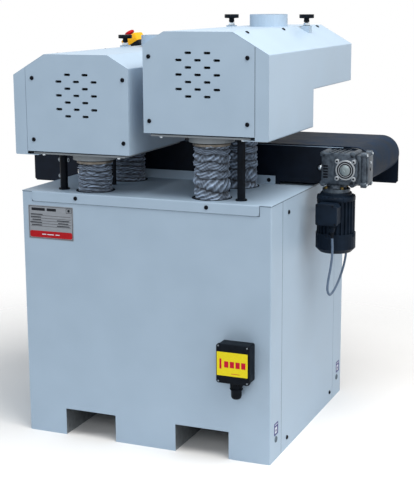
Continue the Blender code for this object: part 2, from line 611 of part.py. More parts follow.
# ---------------------------------------------------------------- feed drive
def gearbox(cast):
    left, right = ROLLER_X - GEARBOX_LEFT, ROLLER_X + GEARBOX_RIGHT
    c = GEARBOX_CORNER
    outline = [(left, GEARBOX_BOTTOM + c), (left + c, GEARBOX_BOTTOM), (right - c, GEARBOX_BOTTOM),
               (right, GEARBOX_BOTTOM + c), (right, GEARBOX_TOP - c), (right - c, GEARBOX_TOP),
               (left + c, GEARBOX_TOP), (left, GEARBOX_TOP - c)]
    obj = place("gearbox_housing", prism(outline, "Y", GEARBOX_FRONT, GEARBOX_BACK), cast)
    axis = (ROLLER_X, ROLLER_HEIGHT)
    flange_front = GEARBOX_FRONT - OUTPUT_FLANGE_HEIGHT
    add(obj, rod(axis, OUTPUT_FLANGE_RADIUS, "Y", flange_front, GEARBOX_FRONT + c))
    ears = [(ROLLER_X + a * OUTPUT_EAR_OFFSET, ROLLER_HEIGHT + b * OUTPUT_EAR_OFFSET)
            for a in (-1, 1) for b in (-1, 1)]
    for ear in ears:
        add(obj, rod(ear, OUTPUT_EAR_RADIUS, "Y", flange_front, GEARBOX_FRONT + c, 16))
    add(obj, rod((WORM_X, WORM_Y), INPUT_NECK_RADIUS, "Z", INPUT_FLANGE_TOP - GAP, GEARBOX_BOTTOM + c / 2))
    add(obj, rod((WORM_X, WORM_Y), INPUT_FLANGE_RADIUS, "Z", INPUT_FLANGE_BOTTOM, INPUT_FLANGE_TOP))
    half = WHEEL_WIDTH / 2 + GEAR_CAVITY_CLEARANCE
    carve(obj, rod(axis, WHEEL_RADIUS + GEAR_CAVITY_CLEARANCE, "Y", WORM_Y - half, WORM_Y + half))
    carve(obj, rod((WORM_X, WORM_Y), WORM_RADIUS + GEAR_CAVITY_CLEARANCE, "Z",
                   GEARBOX_BOTTOM + c, GEARBOX_TOP - c, 24))
    carve(obj, rod(axis, ROLLER_SHAFT_RADIUS + GAP, "Y", flange_front - c, GEARBOX_BACK + c, 24))
    carve(obj, rod((WORM_X, WORM_Y), ROTOR_SHAFT_RADIUS + GAP, "Z", INPUT_FLANGE_BOTTOM - c,
                   GEARBOX_BOTTOM + 2 * c, 24))
    holes = [rod(ear, OUTPUT_EAR_HOLE, "Y", flange_front - c, GEARBOX_FRONT, 12) for ear in ears]
    carve(obj, merged(*holes))


def worm_wheel(bronze, axle):
    origin = (ROLLER_X, WORM_Y, ROLLER_HEIGHT)
    half = WHEEL_WIDTH / 2
    wheel = rod((ROLLER_X, ROLLER_HEIGHT), WHEEL_RADIUS, "Y", WORM_Y - half, WORM_Y + half)
    obj = place("worm_wheel", wheel, bronze, origin, axle)
    carve(obj, rod((ROLLER_X, ROLLER_HEIGHT), ROLLER_SHAFT_RADIUS + GAP, "Y",
                   WORM_Y - 2 * half, WORM_Y + 2 * half, 24))


def finned_outline():
    """Cross-section of the ribbed motor body."""
    points = []
    for i in range(MOTOR_FINS):
        middle = 2 * math.pi * i / MOTOR_FINS
        pitch = 2 * math.pi / MOTOR_FINS
        for share, radius in ((-0.30, 0), (-0.16, 1), (0.16, 1), (0.30, 0)):
            a = middle + share * pitch
            r = MOTOR_RADIUS + radius * MOTOR_FIN_DEPTH
            points.append((WORM_X + r * math.cos(a), WORM_Y + r * math.sin(a)))
    return points


def feed_motor(motor_blue):
    axis = (WORM_X, WORM_Y)
    body_top = MOTOR_TOP - MOTOR_FLANGE_HEIGHT
    obj = place("feed_motor", prism(finned_outline(), "Z", MOTOR_BOTTOM, body_top), motor_blue)
    add(obj, rod(axis, MOTOR_FLANGE_RADIUS, "Z", body_top - MOTOR_FLANGE_HEIGHT, MOTOR_TOP))
    low, high = MOTOR_BOTTOM - COWL_WALL, MOTOR_TOP + COWL_WALL
    carve(obj, rod(axis, ROTOR_SHAFT_RADIUS + GAP, "Z", low, high, 24))

    profile = [(COWL_RADIUS, COWL_TOP), (COWL_RADIUS, COWL_BOTTOM + COWL_BEVEL),
               (COWL_RADIUS - COWL_BEVEL, COWL_BOTTOM), (MOTOR_GLAND_RADIUS, COWL_BOTTOM)]
    inner = [(MOTOR_GLAND_RADIUS, COWL_BOTTOM + COWL_WALL),
             (COWL_RADIUS - COWL_BEVEL - COWL_WALL / 2, COWL_BOTTOM + COWL_WALL),
             (COWL_RADIUS - COWL_WALL, COWL_BOTTOM + COWL_BEVEL + COWL_WALL / 2),
             (COWL_RADIUS - COWL_WALL, COWL_TOP)]
    place("feed_motor_cowl", turned(profile + inner, axis), motor_blue)

    left, right = WORM_X - MOTOR_BOX_WIDTH / 2, WORM_X + MOTOR_BOX_WIDTH / 2
    c = MOTOR_BOX_CHAMFER
    outline = [(left, MOTOR_BOX_BOTTOM), (right, MOTOR_BOX_BOTTOM), (right, MOTOR_BOX_TOP - c),
               (right - c, MOTOR_BOX_TOP), (left, MOTOR_BOX_TOP)]
    box = place("feed_motor_box", prism(outline, "Y", MOTOR_BOX_FRONT, MOTOR_BOX_BACK), motor_blue)
    gland = (MOTOR_GLAND_X, MOTOR_GLAND_Y)
    add(box, rod(gland, MOTOR_GLAND_RADIUS, "Z", MOTOR_GLAND_BOTTOM, MOTOR_BOX_BOTTOM + c, 16))


def turned(profile, axis):
    """A closed profile of (radius, height) turned about a vertical axis."""
    bm = bmesh.new()
    verts = [bm.verts.new((axis[0] + r, axis[1], z)) for r, z in profile]
    edges = [bm.edges.new((verts[i - 1], verts[i])) for i in range(len(verts))]
    centre = (axis[0], axis[1], 0)
    bmesh.ops.spin(bm, geom=verts + edges, cent=centre, axis=(0, 0, 1), angle=2 * math.pi, steps=ROUND,
                   use_merge=True)
    bmesh.ops.remove_doubles(bm, verts=bm.verts, dist=0.00001)
    bmesh.ops.recalc_face_normals(bm, faces=bm.faces)
    return bm


def feed_rotor(steel):
    origin = (WORM_X, WORM_Y, (MOTOR_TOP + MOTOR_BOTTOM) / 2)
    axle = carrier("feed_motor_axis", origin)
    axis = (WORM_X, WORM_Y)
    fan_top = MOTOR_BOTTOM - FAN_CLEARANCE
    fan_bottom = fan_top - FAN_THICKNESS
    c = GEARBOX_CORNER
    shaft = rod(axis, ROTOR_SHAFT_RADIUS, "Z", fan_bottom, GEARBOX_BOTTOM + 2 * c, 24)
    obj = place("feed_motor_rotor", shaft, steel, origin, axle)
    add(obj, rod(axis, WORM_RADIUS, "Z", GEARBOX_BOTTOM + 2 * c - GAP, GEARBOX_TOP - 2 * c, 24))
    fan_radius = COWL_RADIUS - COWL_BEVEL
    add(obj, rod(axis, fan_radius, "Z", fan_bottom, fan_top, 24))


def cable(grey):
    """Motor lead: hangs from the gland in a loop and rises behind the motor to the side panel's hole."""
    start = Vector((MOTOR_GLAND_X, MOTOR_GLAND_Y, MOTOR_GLAND_BOTTOM - GAP))
    from_gland = [
        (0, 0, 0), (0.0030, 0, -0.0663), (-0.0015, -0.001, -0.1173), (-0.0090, -0.001, -0.1623),
        (-0.0125, 0.001, -0.1953), (-0.0105, 0.011, -0.2153), (-0.0090, 0.032, -0.2203),
        (-0.0055, 0.070, -0.2073), (-0.0015, 0.118, -0.1743), (0.0005, 0.156, -0.1363),
        (0.0005, 0.178, -0.0943), (-0.0025, 0.189, -0.0403), (-0.0165, 0.195, 0.0047),
        (-0.0445, 0.199, 0.0297),
    ]
    route = [start + Vector(step) for step in from_gland]
    route += [Vector((x, CABLE_HOLE_Y, CABLE_HOLE_Z)) for x in (HALF_WIDTH + 8 * CABLE_RADIUS,
                                                                HALF_WIDTH - SHEET - CABLE_INSIDE)]
    curve = bpy.data.curves.new("feed_motor_cable", "CURVE")
    curve.dimensions = "3D"
    curve.bevel_depth = CABLE_RADIUS
    curve.bevel_resolution = 2
    curve.use_fill_caps = True
    points = smooth_route(route, 2.6 * 2 * CABLE_RADIUS)
    spline = curve.splines.new("POLY")
    spline.points.add(len(points) - 1)
    for target, point in zip(spline.points, points):
        target.co = (*point, 1.0)
    curve.materials.append(grey)
    obj = bpy.data.objects.new("feed_motor_cable", curve)
    bpy.context.collection.objects.link(obj)


def smooth_route(knots, step):
    """Even points on a Catmull-Rom curve through the knots."""
    padded = [2 * knots[0] - knots[1]] + knots + [2 * knots[-1] - knots[-2]]
    fine = []
    for i in range(len(knots) - 1):
        a, b, c, d = padded[i : i + 4]
        for k in range(20):
            t = k / 20
            fine.append(0.5 * (2 * b + (c - a) * t + (2 * a - 5 * b + 4 * c - d) * t * t
                               + (3 * b - a - 3 * c + d) * t ** 3))
    fine.append(knots[-1])
    length = sum((q - p).length for p, q in zip(fine, fine[1:]))
    count = max(2, round(length / step))
    points, travelled, target = [fine[0]], 0.0, length / count
    for p, q in zip(fine, fine[1:]):
        run = (q - p).length
        while travelled + run >= target - 1e-9 and len(points) < count:
            points.append(p.lerp(q, (target - travelled) / run))
            target += length / count
        travelled += run
    points.append(fine[-1])
    return points


# ---------------------------------------------------------------- heads
def slope_drop(x):
    """How far the outer slope has come down from the roof at x."""
    return (x - RIDGE_OUTER) * SLOPE


def body_outline(inset, bottom):
    """Cross-section of a head's housing, less its wall: the outer slope lies under the hood's sheet."""
    widened = 1 / math.cos(math.radians(HEAD_CHAMFER_ANGLE))
    slope_top = HEAD_HEIGHT - SHEET_ON_SLOPE - (GAP + inset) * widened
    shift = inset * (widened - SLOPE)
    seam = HEAD_SEAM - PANEL_GAP - inset
    ridge = RIDGE_OUTER - GAP - inset
    roof = HEAD_HEIGHT - inset
    points = [
        (HEAD_INNER + inset, bottom),
        (HEAD_INNER + inset, HEAD_HEIGHT - HEAD_CHAMFER * SLOPE - shift),
        (RIDGE_INNER + shift, roof),
        (ridge, roof),
    ]
    points = rounded(points, FOLD_RADIUS - inset, closed=False)
    under_sheet = slope_top - slope_drop(ridge)
    if under_sheet < roof:
        points.append((ridge, under_sheet))
    return points + [(seam, slope_top - slope_drop(seam)), (seam, bottom)]


class Head:
    """One lifting head, hung on its carrier; heights count from the cover's lower edge."""

    def __init__(self, name, colours):
        self.name = name
        self.side, self.base = HEADS[name]
        self.colours = colours
        self.carrier = carrier(f"head_{name}_lift", (self.side * COLUMN_OFFSET_X, COLUMN_MIDDLE_Y, self.base))
        self.axis = (self.side * DRUM_AXIS_OFFSET, self.base + DRUM_AXIS_HEIGHT)
        self.inner_screw = RIDGE_INNER - SHOE_BEYOND_RIDGE
        self.outer_screw = RIDGE_OUTER + SHOE_BEYOND_RIDGE

    def build(self):
        self.front_cover()
        self.housing()
        self.side_hood()
        self.base_plate()
        self.columns()
        self.cable_tube()
        self.drum_motor()
        self.drum()
        self.drum_bearing()
        infeed, outfeed = (self.inner_screw, self.outer_screw)[:: self.side]
        for label, x in (("infeed", infeed), ("outfeed", outfeed)):
            self.shoe(label, x)
            self.knob(label, x)

    # shapes that are drawn as on the right head and mirrored for the left one
    def sheet(self, points, y0, y1):
        return prism([(self.side * x, self.base + z) for x, z in points], "Y", y0, y1)

    def post(self, x, y, radius, z0, z1, sides=24):
        return rod((self.side * x, y), radius, "Z", self.base + z0, self.base + z1, sides)

    def slab(self, x0, x1, y0, y1, z0, z1):
        return block(self.side * x0, self.side * x1, y0, y1, self.base + z0, self.base + z1)

    def bar(self, radius, y0, y1, sides=24):
        """A round bar on the drum's axis."""
        return rod(self.axis, radius, "Y", y0, y1, sides)

    def part(self, label, shape, colour, origin=None, parent=None):
        origin = origin or self.carrier.location
        return place(f"{label}_{self.name}", shape, self.colours[colour], origin, parent or self.carrier)

    def front_cover(self):
        cover = self.part("front_cover", self.sheet(body_outline(0, 0), HEAD_FRONT, COVER_BACK), "paint")
        half = (VENT_LENGTH - VENT_WIDTH) / 2
        slots = []
        for row in range(VENT_ROWS):
            columns = 3 if row % 2 else 2
            z = DRUM_AXIS_HEIGHT + (row - (VENT_ROWS - 1) / 2) * VENT_PITCH_Z
            for column in range(columns):
                x = DRUM_AXIS_OFFSET + (column - (columns - 1) / 2) * VENT_PITCH_X
                outline = circle((x + half, z), VENT_WIDTH / 2, 5, -90, 180)
                outline += circle((x - half, z), VENT_WIDTH / 2, 5, 90, 180)
                slots.append(self.sheet(outline, HEAD_FRONT - HEAD_SHEET, COVER_BACK + HEAD_SHEET))
        carve(cover, merged(*slots))

    def housing(self):
        """Deep motor box in front, drum tunnel behind, dust spigot and the inner knob's bracket."""
        front = COVER_BACK + GAP
        obj = self.part("housing", self.sheet(body_outline(0, 0), front, HEAD_BOX_BACK), "paint")
        add(obj, self.sheet(body_outline(0, TUNNEL_CLEARANCE), MOTOR_WALL_FRONT, HEAD_BACK))
        motor_room = body_outline(HEAD_WALL, HEAD_WALL)
        tunnel = body_outline(HEAD_WALL, TUNNEL_CLEARANCE - HEAD_WALL)
        carve(obj, self.sheet(motor_room, front - HEAD_WALL, MOTOR_WALL_FRONT))
        carve(obj, self.sheet(tunnel, HEAD_BOX_BACK, TUNNEL_BACK))
        carve(obj, self.slab(HEAD_INNER + FLOOR_LIP, HEAD_SEAM - FLOOR_LIP, front + FLOOR_LIP,
                             MOTOR_WALL_FRONT - FLOOR_LIP, -HEAD_WALL, 2 * HEAD_WALL))
        carve(obj, self.bar(SHAFT_HOLE_RADIUS, MOTOR_WALL_FRONT - HEAD_WALL, HEAD_BOX_BACK + HEAD_WALL))
        rim = HEAD_HEIGHT + SPIGOT_HEIGHT
        add(obj, self.post(HEAD_MIDDLE, SPIGOT_Y, SPIGOT_RADIUS, HEAD_HEIGHT - HEAD_WALL / 2, rim, 40))
        carve(obj, self.post(HEAD_MIDDLE, SPIGOT_Y, SPIGOT_RADIUS - SPIGOT_WALL, HEAD_HEIGHT - 2 * HEAD_WALL,
                             rim + HEAD_WALL, 40))
        self.bracket(obj, self.inner_screw, lambda x: (RIDGE_INNER - x) * SLOPE)
        self.screw_hole(obj, self.inner_screw)
        self.screw_hole(obj, self.outer_screw)

    def side_hood(self):
        """Folded sheet over the outer slope and side, with end strips and a lip under the base plate."""
        low = -HOOD_DROP
        ridge, eaves = (RIDGE_OUTER, HEAD_HEIGHT), (HALF_WIDTH, HEAD_HEIGHT - slope_drop(HALF_WIDTH))

        def folded(x, bottom):
            """Section of the sheet from a lip that starts at x, round the side and up to the ridge."""
            path = rounded([(x, bottom), (HALF_WIDTH, bottom), eaves, ridge], closed=False)
            outline = ribbon(path, HEAD_SHEET)
            outline[len(path)] = (RIDGE_OUTER, HEAD_HEIGHT - SHEET_ON_SLOPE)
            return outline

        def strip(bottom, top):
            """Section of an end strip between the seam and the side."""
            return rounded([(HEAD_SEAM, bottom), (HALF_WIDTH, bottom), *top], closed=False)

        slope = [eaves, (HEAD_SEAM, HEAD_HEIGHT - slope_drop(HEAD_SEAM))]
        notch = HEAD_BOX_BACK - HEAD_SHEET
        step = TUNNEL_CLEARANCE + HEAD_SHEET
        deep = self.sheet(folded(HEAD_SEAM - HOOD_LIP, low), HEAD_FRONT, HEAD_BOX_BACK)
        obj = self.part("side_hood", deep, "paint")
        add(obj, self.sheet(folded(HEAD_SEAM, TUNNEL_CLEARANCE), notch, HEAD_BACK))
        add(obj, self.sheet(strip(low, slope), HEAD_FRONT, COVER_BACK))
        add(obj, self.sheet(strip(TUNNEL_CLEARANCE, slope), HEAD_BACK - HEAD_SHEET, HEAD_BACK))
        add(obj, self.sheet(strip(low, [(HALF_WIDTH, step), (HEAD_SEAM, step)]), notch, HEAD_BOX_BACK))
        self.bracket(obj, self.outer_screw, slope_drop)
        self.screw_hole(obj, self.outer_screw)

    def bracket(self, obj, centre, drop):
        """Wedge with a level top that carries a set screw's nut on a slope."""
        half = BRACKET_WIDTH / 2
        under = [(x, HEAD_HEIGHT - SHEET_ON_SLOPE / 2 - drop(x)) for x in (centre - half, centre + half)]
        outline = [(centre - half, BRACKET_TOP), *under, (centre + half, BRACKET_TOP)]
        add(obj, self.sheet(outline, SPIGOT_Y - BRACKET_LENGTH / 2, SPIGOT_Y + BRACKET_LENGTH / 2))

    def screw_hole(self, obj, x):
        under = HEAD_HEIGHT - HEAD_CHAMFER * SLOPE - 2 * HEAD_WALL
        carve(obj, self.post(x, SPIGOT_Y, KNOB_SCREW_RADIUS + GAP, under, BRACKET_TOP + HEAD_WALL, 16))

    def base_plate(self):
        """Steel plate under the motor box, with the two collars that hold the bellows."""
        obj = self.part("base_plate", self.slab(HEAD_INNER + PLATE_INSET_INNER, HEAD_SEAM - PLATE_INSET_OUTER,
                                                HEAD_FRONT + PLATE_INSET_FRONT, MOTOR_WALL_FRONT,
                                                LIFT_PLATE_BOTTOM, LIFT_PLATE_TOP), "paint")
        middle = (LIFT_PLATE_BOTTOM + LIFT_PLATE_TOP) / 2
        for y in (COLUMN_FRONT_Y, COLUMN_REAR_Y):
            add(obj, self.post(COLUMN_OFFSET_X, y, COLLAR_RADIUS, COLLAR_BOTTOM, middle, ROUND))
        flat = LID_DEPTH - SHEET - UPSTAND_CLEARANCE
        left, right = COLUMN_OFFSET_X - COLLAR_RADIUS, COLUMN_OFFSET_X + COLLAR_RADIUS
        low = COLLAR_BOTTOM - COLLAR_HEIGHT
        carve(obj, self.slab(left, right, flat, HEAD_BOX_BACK + SHEET, low, LIFT_PLATE_BOTTOM))
        for y in (COLUMN_FRONT_Y, COLUMN_REAR_Y):
            carve(obj, self.post(COLUMN_OFFSET_X, y, BELLOWS_BORE, low, LIFT_PLATE_BOTTOM))

    def columns(self):
        """Two guide columns and the lift screw between them, hanging from the base plate."""
        foot = UNDER_PLATE - COLUMN_LENGTH
        rows = (("column_front", COLUMN_FRONT_Y, COLUMN_RADIUS),
                ("column_rear", COLUMN_REAR_Y, COLUMN_RADIUS),
                ("lift_screw", COLUMN_MIDDLE_Y, SCREW_RADIUS))
        for label, y, radius in rows:
            origin = (self.side * COLUMN_OFFSET_X, y, self.base)
            self.part(label, self.post(COLUMN_OFFSET_X, y, radius, foot, UNDER_PLATE), "steel", origin)

    def cable_tube(self):
        low = UNDER_PLATE - CABLE_TUBE_LENGTH
        tube = self.post(CABLE_TUBE_X, CABLE_TUBE_Y, CABLE_TUBE_RADIUS, low, UNDER_PLATE, 20)
        obj = self.part("cable_tube", tube, "black")
        inner = CABLE_TUBE_RADIUS - CABLE_TUBE_WALL
        carve(obj, self.post(CABLE_TUBE_X, CABLE_TUBE_Y, inner, low - inner, UNDER_PLATE + inner, 20))

    def drum_motor(self):
        back = MOTOR_WALL_FRONT - GAP
        obj = self.part("drum_motor", self.bar(DRUM_MOTOR_RADIUS, back - DRUM_MOTOR_LENGTH, back), "motor")
        add(obj, self.bar(DRUM_MOTOR_FLANGE_RADIUS, back - DRUM_MOTOR_FLANGE, back))

    def drum(self):
        origin = (self.axis[0], (DRUM_FRONT + DRUM_REAR) / 2, self.axis[1])
        spin = carrier(f"drum_{self.name}_axis", origin)
        obj = self.part("drum", self.bar(DRUM_RADIUS, DRUM_FRONT, DRUM_REAR, 40), "abrasive", origin, spin)
        add(obj, self.bar(DRUM_SHAFT_RADIUS, MOTOR_WALL_FRONT, TUNNEL_BACK - 2 * GAP))

    def drum_bearing(self):
        obj = self.part("drum_bearing", self.bar(BEARING_RADIUS, BEARING_FRONT, TUNNEL_BACK - GAP), "cast")
        carve(obj, self.bar(DRUM_SHAFT_RADIUS + GAP, BEARING_FRONT - HEAD_WALL, TUNNEL_BACK + HEAD_WALL))

    def shoe(self, label, x):
        """Pressure shoe along the drum, with the boss that its set screw turns in."""
        half = SHOE_WIDTH / 2
        toe = SHOE_HEIGHT / 3
        top = SHOE_BOTTOM + SHOE_HEIGHT
        outline = [(x - half + toe, SHOE_BOTTOM), (x + half - toe, SHOE_BOTTOM)]
        outline += [(x + half, SHOE_BOTTOM + toe), (x + half, top)]
        outline += [(x - half, top), (x - half, SHOE_BOTTOM + toe)]
        front, back = HEAD_BOX_BACK + SHOE_END_CLEARANCE, TUNNEL_BACK - SHOE_END_CLEARANCE
        obj = self.part(f"shoe_{label}", self.sheet(outline, front, back), "steel")
        add(obj, self.post(x, SPIGOT_Y, SHOE_BOSS_RADIUS, top - toe, SHOE_BOSS_TOP, 16))

    def knob(self, label, x):
        """T-shaped knob on a long set screw that reaches down to its shoe."""
        stem_top = STEM_BOTTOM + KNOB_STEM_HEIGHT
        origin = (self.side * x, SPIGOT_Y, self.base + stem_top)
        turn = carrier(f"knob_{label}_{self.name}_axis", origin)
        inside_stem = STEM_BOTTOM + KNOB_STEM_HEIGHT / 2
        screw = self.post(x, SPIGOT_Y, KNOB_SCREW_RADIUS, SHOE_BOSS_TOP + GAP, inside_stem, 16)
        obj = self.part(f"knob_{label}", screw, "black", origin, turn)
        add(obj, self.post(x, SPIGOT_Y, KNOB_STEM_RADIUS, STEM_BOTTOM, stem_top, 16))
        add(obj, self.post(x, SPIGOT_Y, KNOB_RADIUS, stem_top - GAP, stem_top + KNOB_THICKNESS, 20))


def lift_guides(name, colours):
    """Pieces of one head's lift that stay with the cabinet."""
    side, base = HEADS[name]
    x = side * COLUMN_OFFSET_X
    half = GUIDE_BLOCK_WIDTH / 2
    bottom = BEAM_TOP + GAP
    guide = block(x - half, x + half, FRAME_INSET, guide_back(), bottom, GUIDE_TOP)
    obj = place(f"guide_block_{name}", guide, colours["cast"])
    bores = {COLUMN_FRONT_Y: COLUMN_RADIUS, COLUMN_REAR_Y: COLUMN_RADIUS, COLUMN_MIDDLE_Y: SCREW_RADIUS}
    for y, radius in bores.items():
        carve(obj, rod((x, y), radius + GAP, "Z", bottom - FRAME_INSET, GUIDE_TOP + FRAME_INSET, 24))
    top = base + COLLAR_BOTTOM - GAP
    for label, y in (("bellows_front", COLUMN_FRONT_Y), ("bellows_rear", COLUMN_REAR_Y)):
        ring = rod((x, y), BELLOWS_RADIUS, "Z", GUIDE_TOP + GAP, top, 24)
        bellows = place(f"{label}_{name}", ring, colours["fabric"], (x, y, GUIDE_TOP))
        carve(bellows, rod((x, y), BELLOWS_BORE, "Z", GUIDE_TOP - FRAME_INSET, top + FRAME_INSET, 24))


def emergency_stop(name, colours):
    """Stop box standing square on the outer slope of one head."""
    side, base = HEADS[name]
    angle = math.radians(HEAD_CHAMFER_ANGLE)
    ridge = Vector((side * RIDGE_OUTER, STOP_Y, base + HEAD_HEIGHT))
    down = Vector((side * math.cos(angle), 0, -math.sin(angle)))
    out = Vector((side * math.sin(angle), 0, math.cos(angle)))
    foot = ridge + down * STOP_DOWN_SLOPE + out * GAP
    turn = Matrix.Rotation(side * angle, 4, "Y")
    half = STOP_SIZE / 2
    outline = [(-half, -half), (half, -half), (half, half), (-half, half)]

    def stand(label, bm, colour, origin):
        obj = place(label, bm, colours[colour])
        obj.matrix_world = Matrix.Translation(origin) @ turn
        return obj

    box = prism(outline, "Z", 0, STOP_HEIGHT)
    edges = [e for e in box.edges if max(v.co.z for v in e.verts) > STOP_HEIGHT / 2]
    bmesh.ops.bevel(box, geom=edges, offset=HEAD_SHEET * 2, segments=2, profile=0.5, affect="EDGES")
    obj = stand("estop_box", box, "yellow", foot)
    depth, mouth = STOP_HEIGHT - STOP_STEM_DEPTH, STOP_HEIGHT + STOP_STEM_SHOW
    hole = rod((0, 0), STOP_STEM_RADIUS + GAP, "Z", depth, mouth, 20)
    bmesh.ops.transform(hole, matrix=Matrix.Translation(foot) @ turn, verts=hole.verts)
    carve(obj, hole)

    press = carrier("estop_button_axis", foot + out * STOP_HEIGHT)
    stem_bottom = -STOP_STEM_DEPTH / 2
    stem = rod((0, 0), STOP_STEM_RADIUS, "Z", stem_bottom, STOP_STEM_SHOW + GAP, 20)
    button = stand("estop_button", stem, "red", press.location)
    cap_top = STOP_STEM_SHOW + STOP_CAP_HEIGHT
    r = STOP_CAP_RADIUS
    cap = lathe_solid([(0.8 * r, STOP_STEM_SHOW), (r, STOP_STEM_SHOW + 0.3 * STOP_CAP_HEIGHT),
                       (r, STOP_STEM_SHOW + 0.6 * STOP_CAP_HEIGHT), (0.8 * r, cap_top)])
    bmesh.ops.transform(cap, matrix=Matrix.Translation(press.location) @ turn, verts=cap.verts)
    add(button, cap)


def lathe_solid(profile, sides=24):
    """A solid of revolution about Z from (radius, height) rings, closed flat at both ends."""
    bm = bmesh.new()
    rings = [[bm.verts.new((x, y, z)) for x, y in circle((0, 0), r, sides)] for r, z in profile]
    for low, high in zip(rings, rings[1:]):
        for i in range(sides):
            bm.faces.new((low[i - 1], low[i], high[i], high[i - 1]))
    bm.faces.new(rings[0][::-1])
    bm.faces.new(rings[-1])
    bmesh.ops.recalc_face_normals(bm, faces=bm.faces)
    return bm


def main():
    for obj in list(bpy.data.objects):
        bpy.data.objects.remove(obj, do_unlink=True)
    colours = {
        "paint": paint("powder_coat", "9fb1c4", 0.45),
        "navy": paint("navy_paint", "1c2733", 0.45),
        "rubber": paint("belt_rubber", "26282e", 0.6),
        "black": paint("black_plastic", "15171a", 0.4),
        "steel": paint("ground_steel", "a9adb2", 0.3, 1.0),
        "cast": paint("cast_aluminium", "73777b", 0.55, 0.6),
        "bronze": paint("wheel_bronze", "a9793c", 0.4, 1.0),
        "motor": paint("motor_enamel", "272f3c", 0.45),
        "lead": paint("cable_sheath", "5b6c80", 0.5),
        "fabric": paint("bellows_fabric", "6f757c", 0.85),
        "abrasive": paint("abrasive_cloth", "7a3b26", 0.95),
        "yellow": paint("stop_yellow", "e6ab1e", 0.4),
        "red": paint("stop_red", "c4161c", 0.35),
        "tray": paint("zinc_sheet", "b4babf", 0.4, 0.8),
    }
    cabinet(colours["paint"])
    lid(colours["paint"])
    base_tray(colours["tray"])
    inner_frame(colours["black"])
    terminal_box(colours["black"])
    conveyor_plates(colours["navy"])
    slider_bed(colours["navy"])
    conveyor_belt(colours["rubber"])
    output_face = GEARBOX_FRONT - OUTPUT_FLANGE_HEIGHT
    drive = roller("drive_roller", ROLLER_X, colours["steel"], output_face - GAP, cap=True)
    roller("idler_roller", -ROLLER_X, colours["steel"], CONVEYOR_FRONT)
    gearbox(colours["cast"])
    worm_wheel(colours["bronze"], drive)
    feed_motor(colours["motor"])
    feed_rotor(colours["steel"])
    cable(colours["lead"])
    for name in HEADS:
        Head(name, colours).build()
        lift_guides(name, colours)
    emergency_stop("left", colours)
    for obj in bpy.data.objects:
        if not obj.parent:
            obj.location.y -= CABINET_DEPTH / 2


main()
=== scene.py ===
import json
from math import atan2, cos, floor, log, pi, radians, sin, tan

import bmesh
import bpy
from mathutils import Matrix, Vector, geometry, noise


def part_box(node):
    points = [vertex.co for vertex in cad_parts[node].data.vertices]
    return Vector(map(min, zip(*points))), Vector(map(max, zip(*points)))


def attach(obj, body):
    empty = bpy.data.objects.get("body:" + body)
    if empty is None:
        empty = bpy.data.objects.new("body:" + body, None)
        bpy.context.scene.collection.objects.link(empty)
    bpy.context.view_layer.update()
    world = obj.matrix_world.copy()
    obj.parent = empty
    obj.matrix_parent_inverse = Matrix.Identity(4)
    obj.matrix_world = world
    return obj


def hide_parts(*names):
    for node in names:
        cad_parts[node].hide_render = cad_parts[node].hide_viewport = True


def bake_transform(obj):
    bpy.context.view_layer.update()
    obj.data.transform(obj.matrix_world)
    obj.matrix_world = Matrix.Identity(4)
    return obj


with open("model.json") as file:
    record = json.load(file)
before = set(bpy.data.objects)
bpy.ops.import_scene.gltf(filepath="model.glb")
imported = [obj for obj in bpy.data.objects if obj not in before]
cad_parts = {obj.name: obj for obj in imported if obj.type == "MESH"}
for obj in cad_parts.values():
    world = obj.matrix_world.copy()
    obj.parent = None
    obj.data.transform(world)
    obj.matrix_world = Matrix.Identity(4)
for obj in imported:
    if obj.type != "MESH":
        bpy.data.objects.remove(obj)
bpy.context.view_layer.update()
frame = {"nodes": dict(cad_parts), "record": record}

MM = 0.001
HEADS = {"left": -1, "right": 1}
X, Y, Z = Vector((1, 0, 0)), Vector((0, 1, 0)), Vector((0, 0, 1))


# ---- places taken from the frame, in millimetres
def low(node):
    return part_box(node)[0] / MM


def high(node):
    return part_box(node)[1] / MM


def middle(node):
    return (low(node) + high(node)) / 2


FRONT = low("cabinet_front").y
REAR = high("cabinet_rear").y
SIDE = high("cabinet_front").x
LID_TOP = high("cabinet_rear").z
SLOPE = radians(30)  # outer and inner slopes of the heads


# ---- mesh making, in millimetres
def turned(profile, sides=32):
    """A profile of (radius, height), turned about +Z."""
    bm = bmesh.new()
    verts = [bm.verts.new((r, 0, z)) for r, z in profile]
    edges = [bm.edges.new(pair) for pair in zip(verts, verts[1:])]
    bmesh.ops.spin(bm, geom=verts + edges, cent=(0, 0, 0), axis=(0, 0, 1), angle=2 * pi,
                   steps=sides, use_merge=True)
    bmesh.ops.remove_doubles(bm, verts=bm.verts, dist=0.01)
    bmesh.ops.recalc_face_normals(bm, faces=bm.faces)
    return bm


def round_over(bm, edges, width, segments):
    """Rounds some edges of a shape."""
    bmesh.ops.bevel(bm, geom=edges, offset=width, segments=segments, profile=0.5, affect="EDGES",
                    material=-1)


def raised(bm, faces, height, keep=False):
    """A shape with faces of it extruded upwards."""
    grown = bmesh.ops.extrude_face_region(bm, geom=faces, use_keep_orig=keep)["geom"]
    verts = [part for part in grown if isinstance(part, bmesh.types.BMVert)]
    bmesh.ops.translate(bm, vec=(0, 0, height), verts=verts)
    bmesh.ops.recalc_face_normals(bm, faces=bm.faces)
    return bm


def block(lowest, highest, edge=0.0, segments=2):
    """A block between two corners, its edges rounded."""
    bm = bmesh.new()
    size = Vector(highest) - Vector(lowest)
    place = Matrix.Translation((Vector(highest) + Vector(lowest)) / 2)
    bmesh.ops.create_cube(bm, size=1, matrix=place @ Matrix.Diagonal((*size, 1)))
    if edge:
        round_over(bm, bm.edges[:], edge, segments)
    return bm


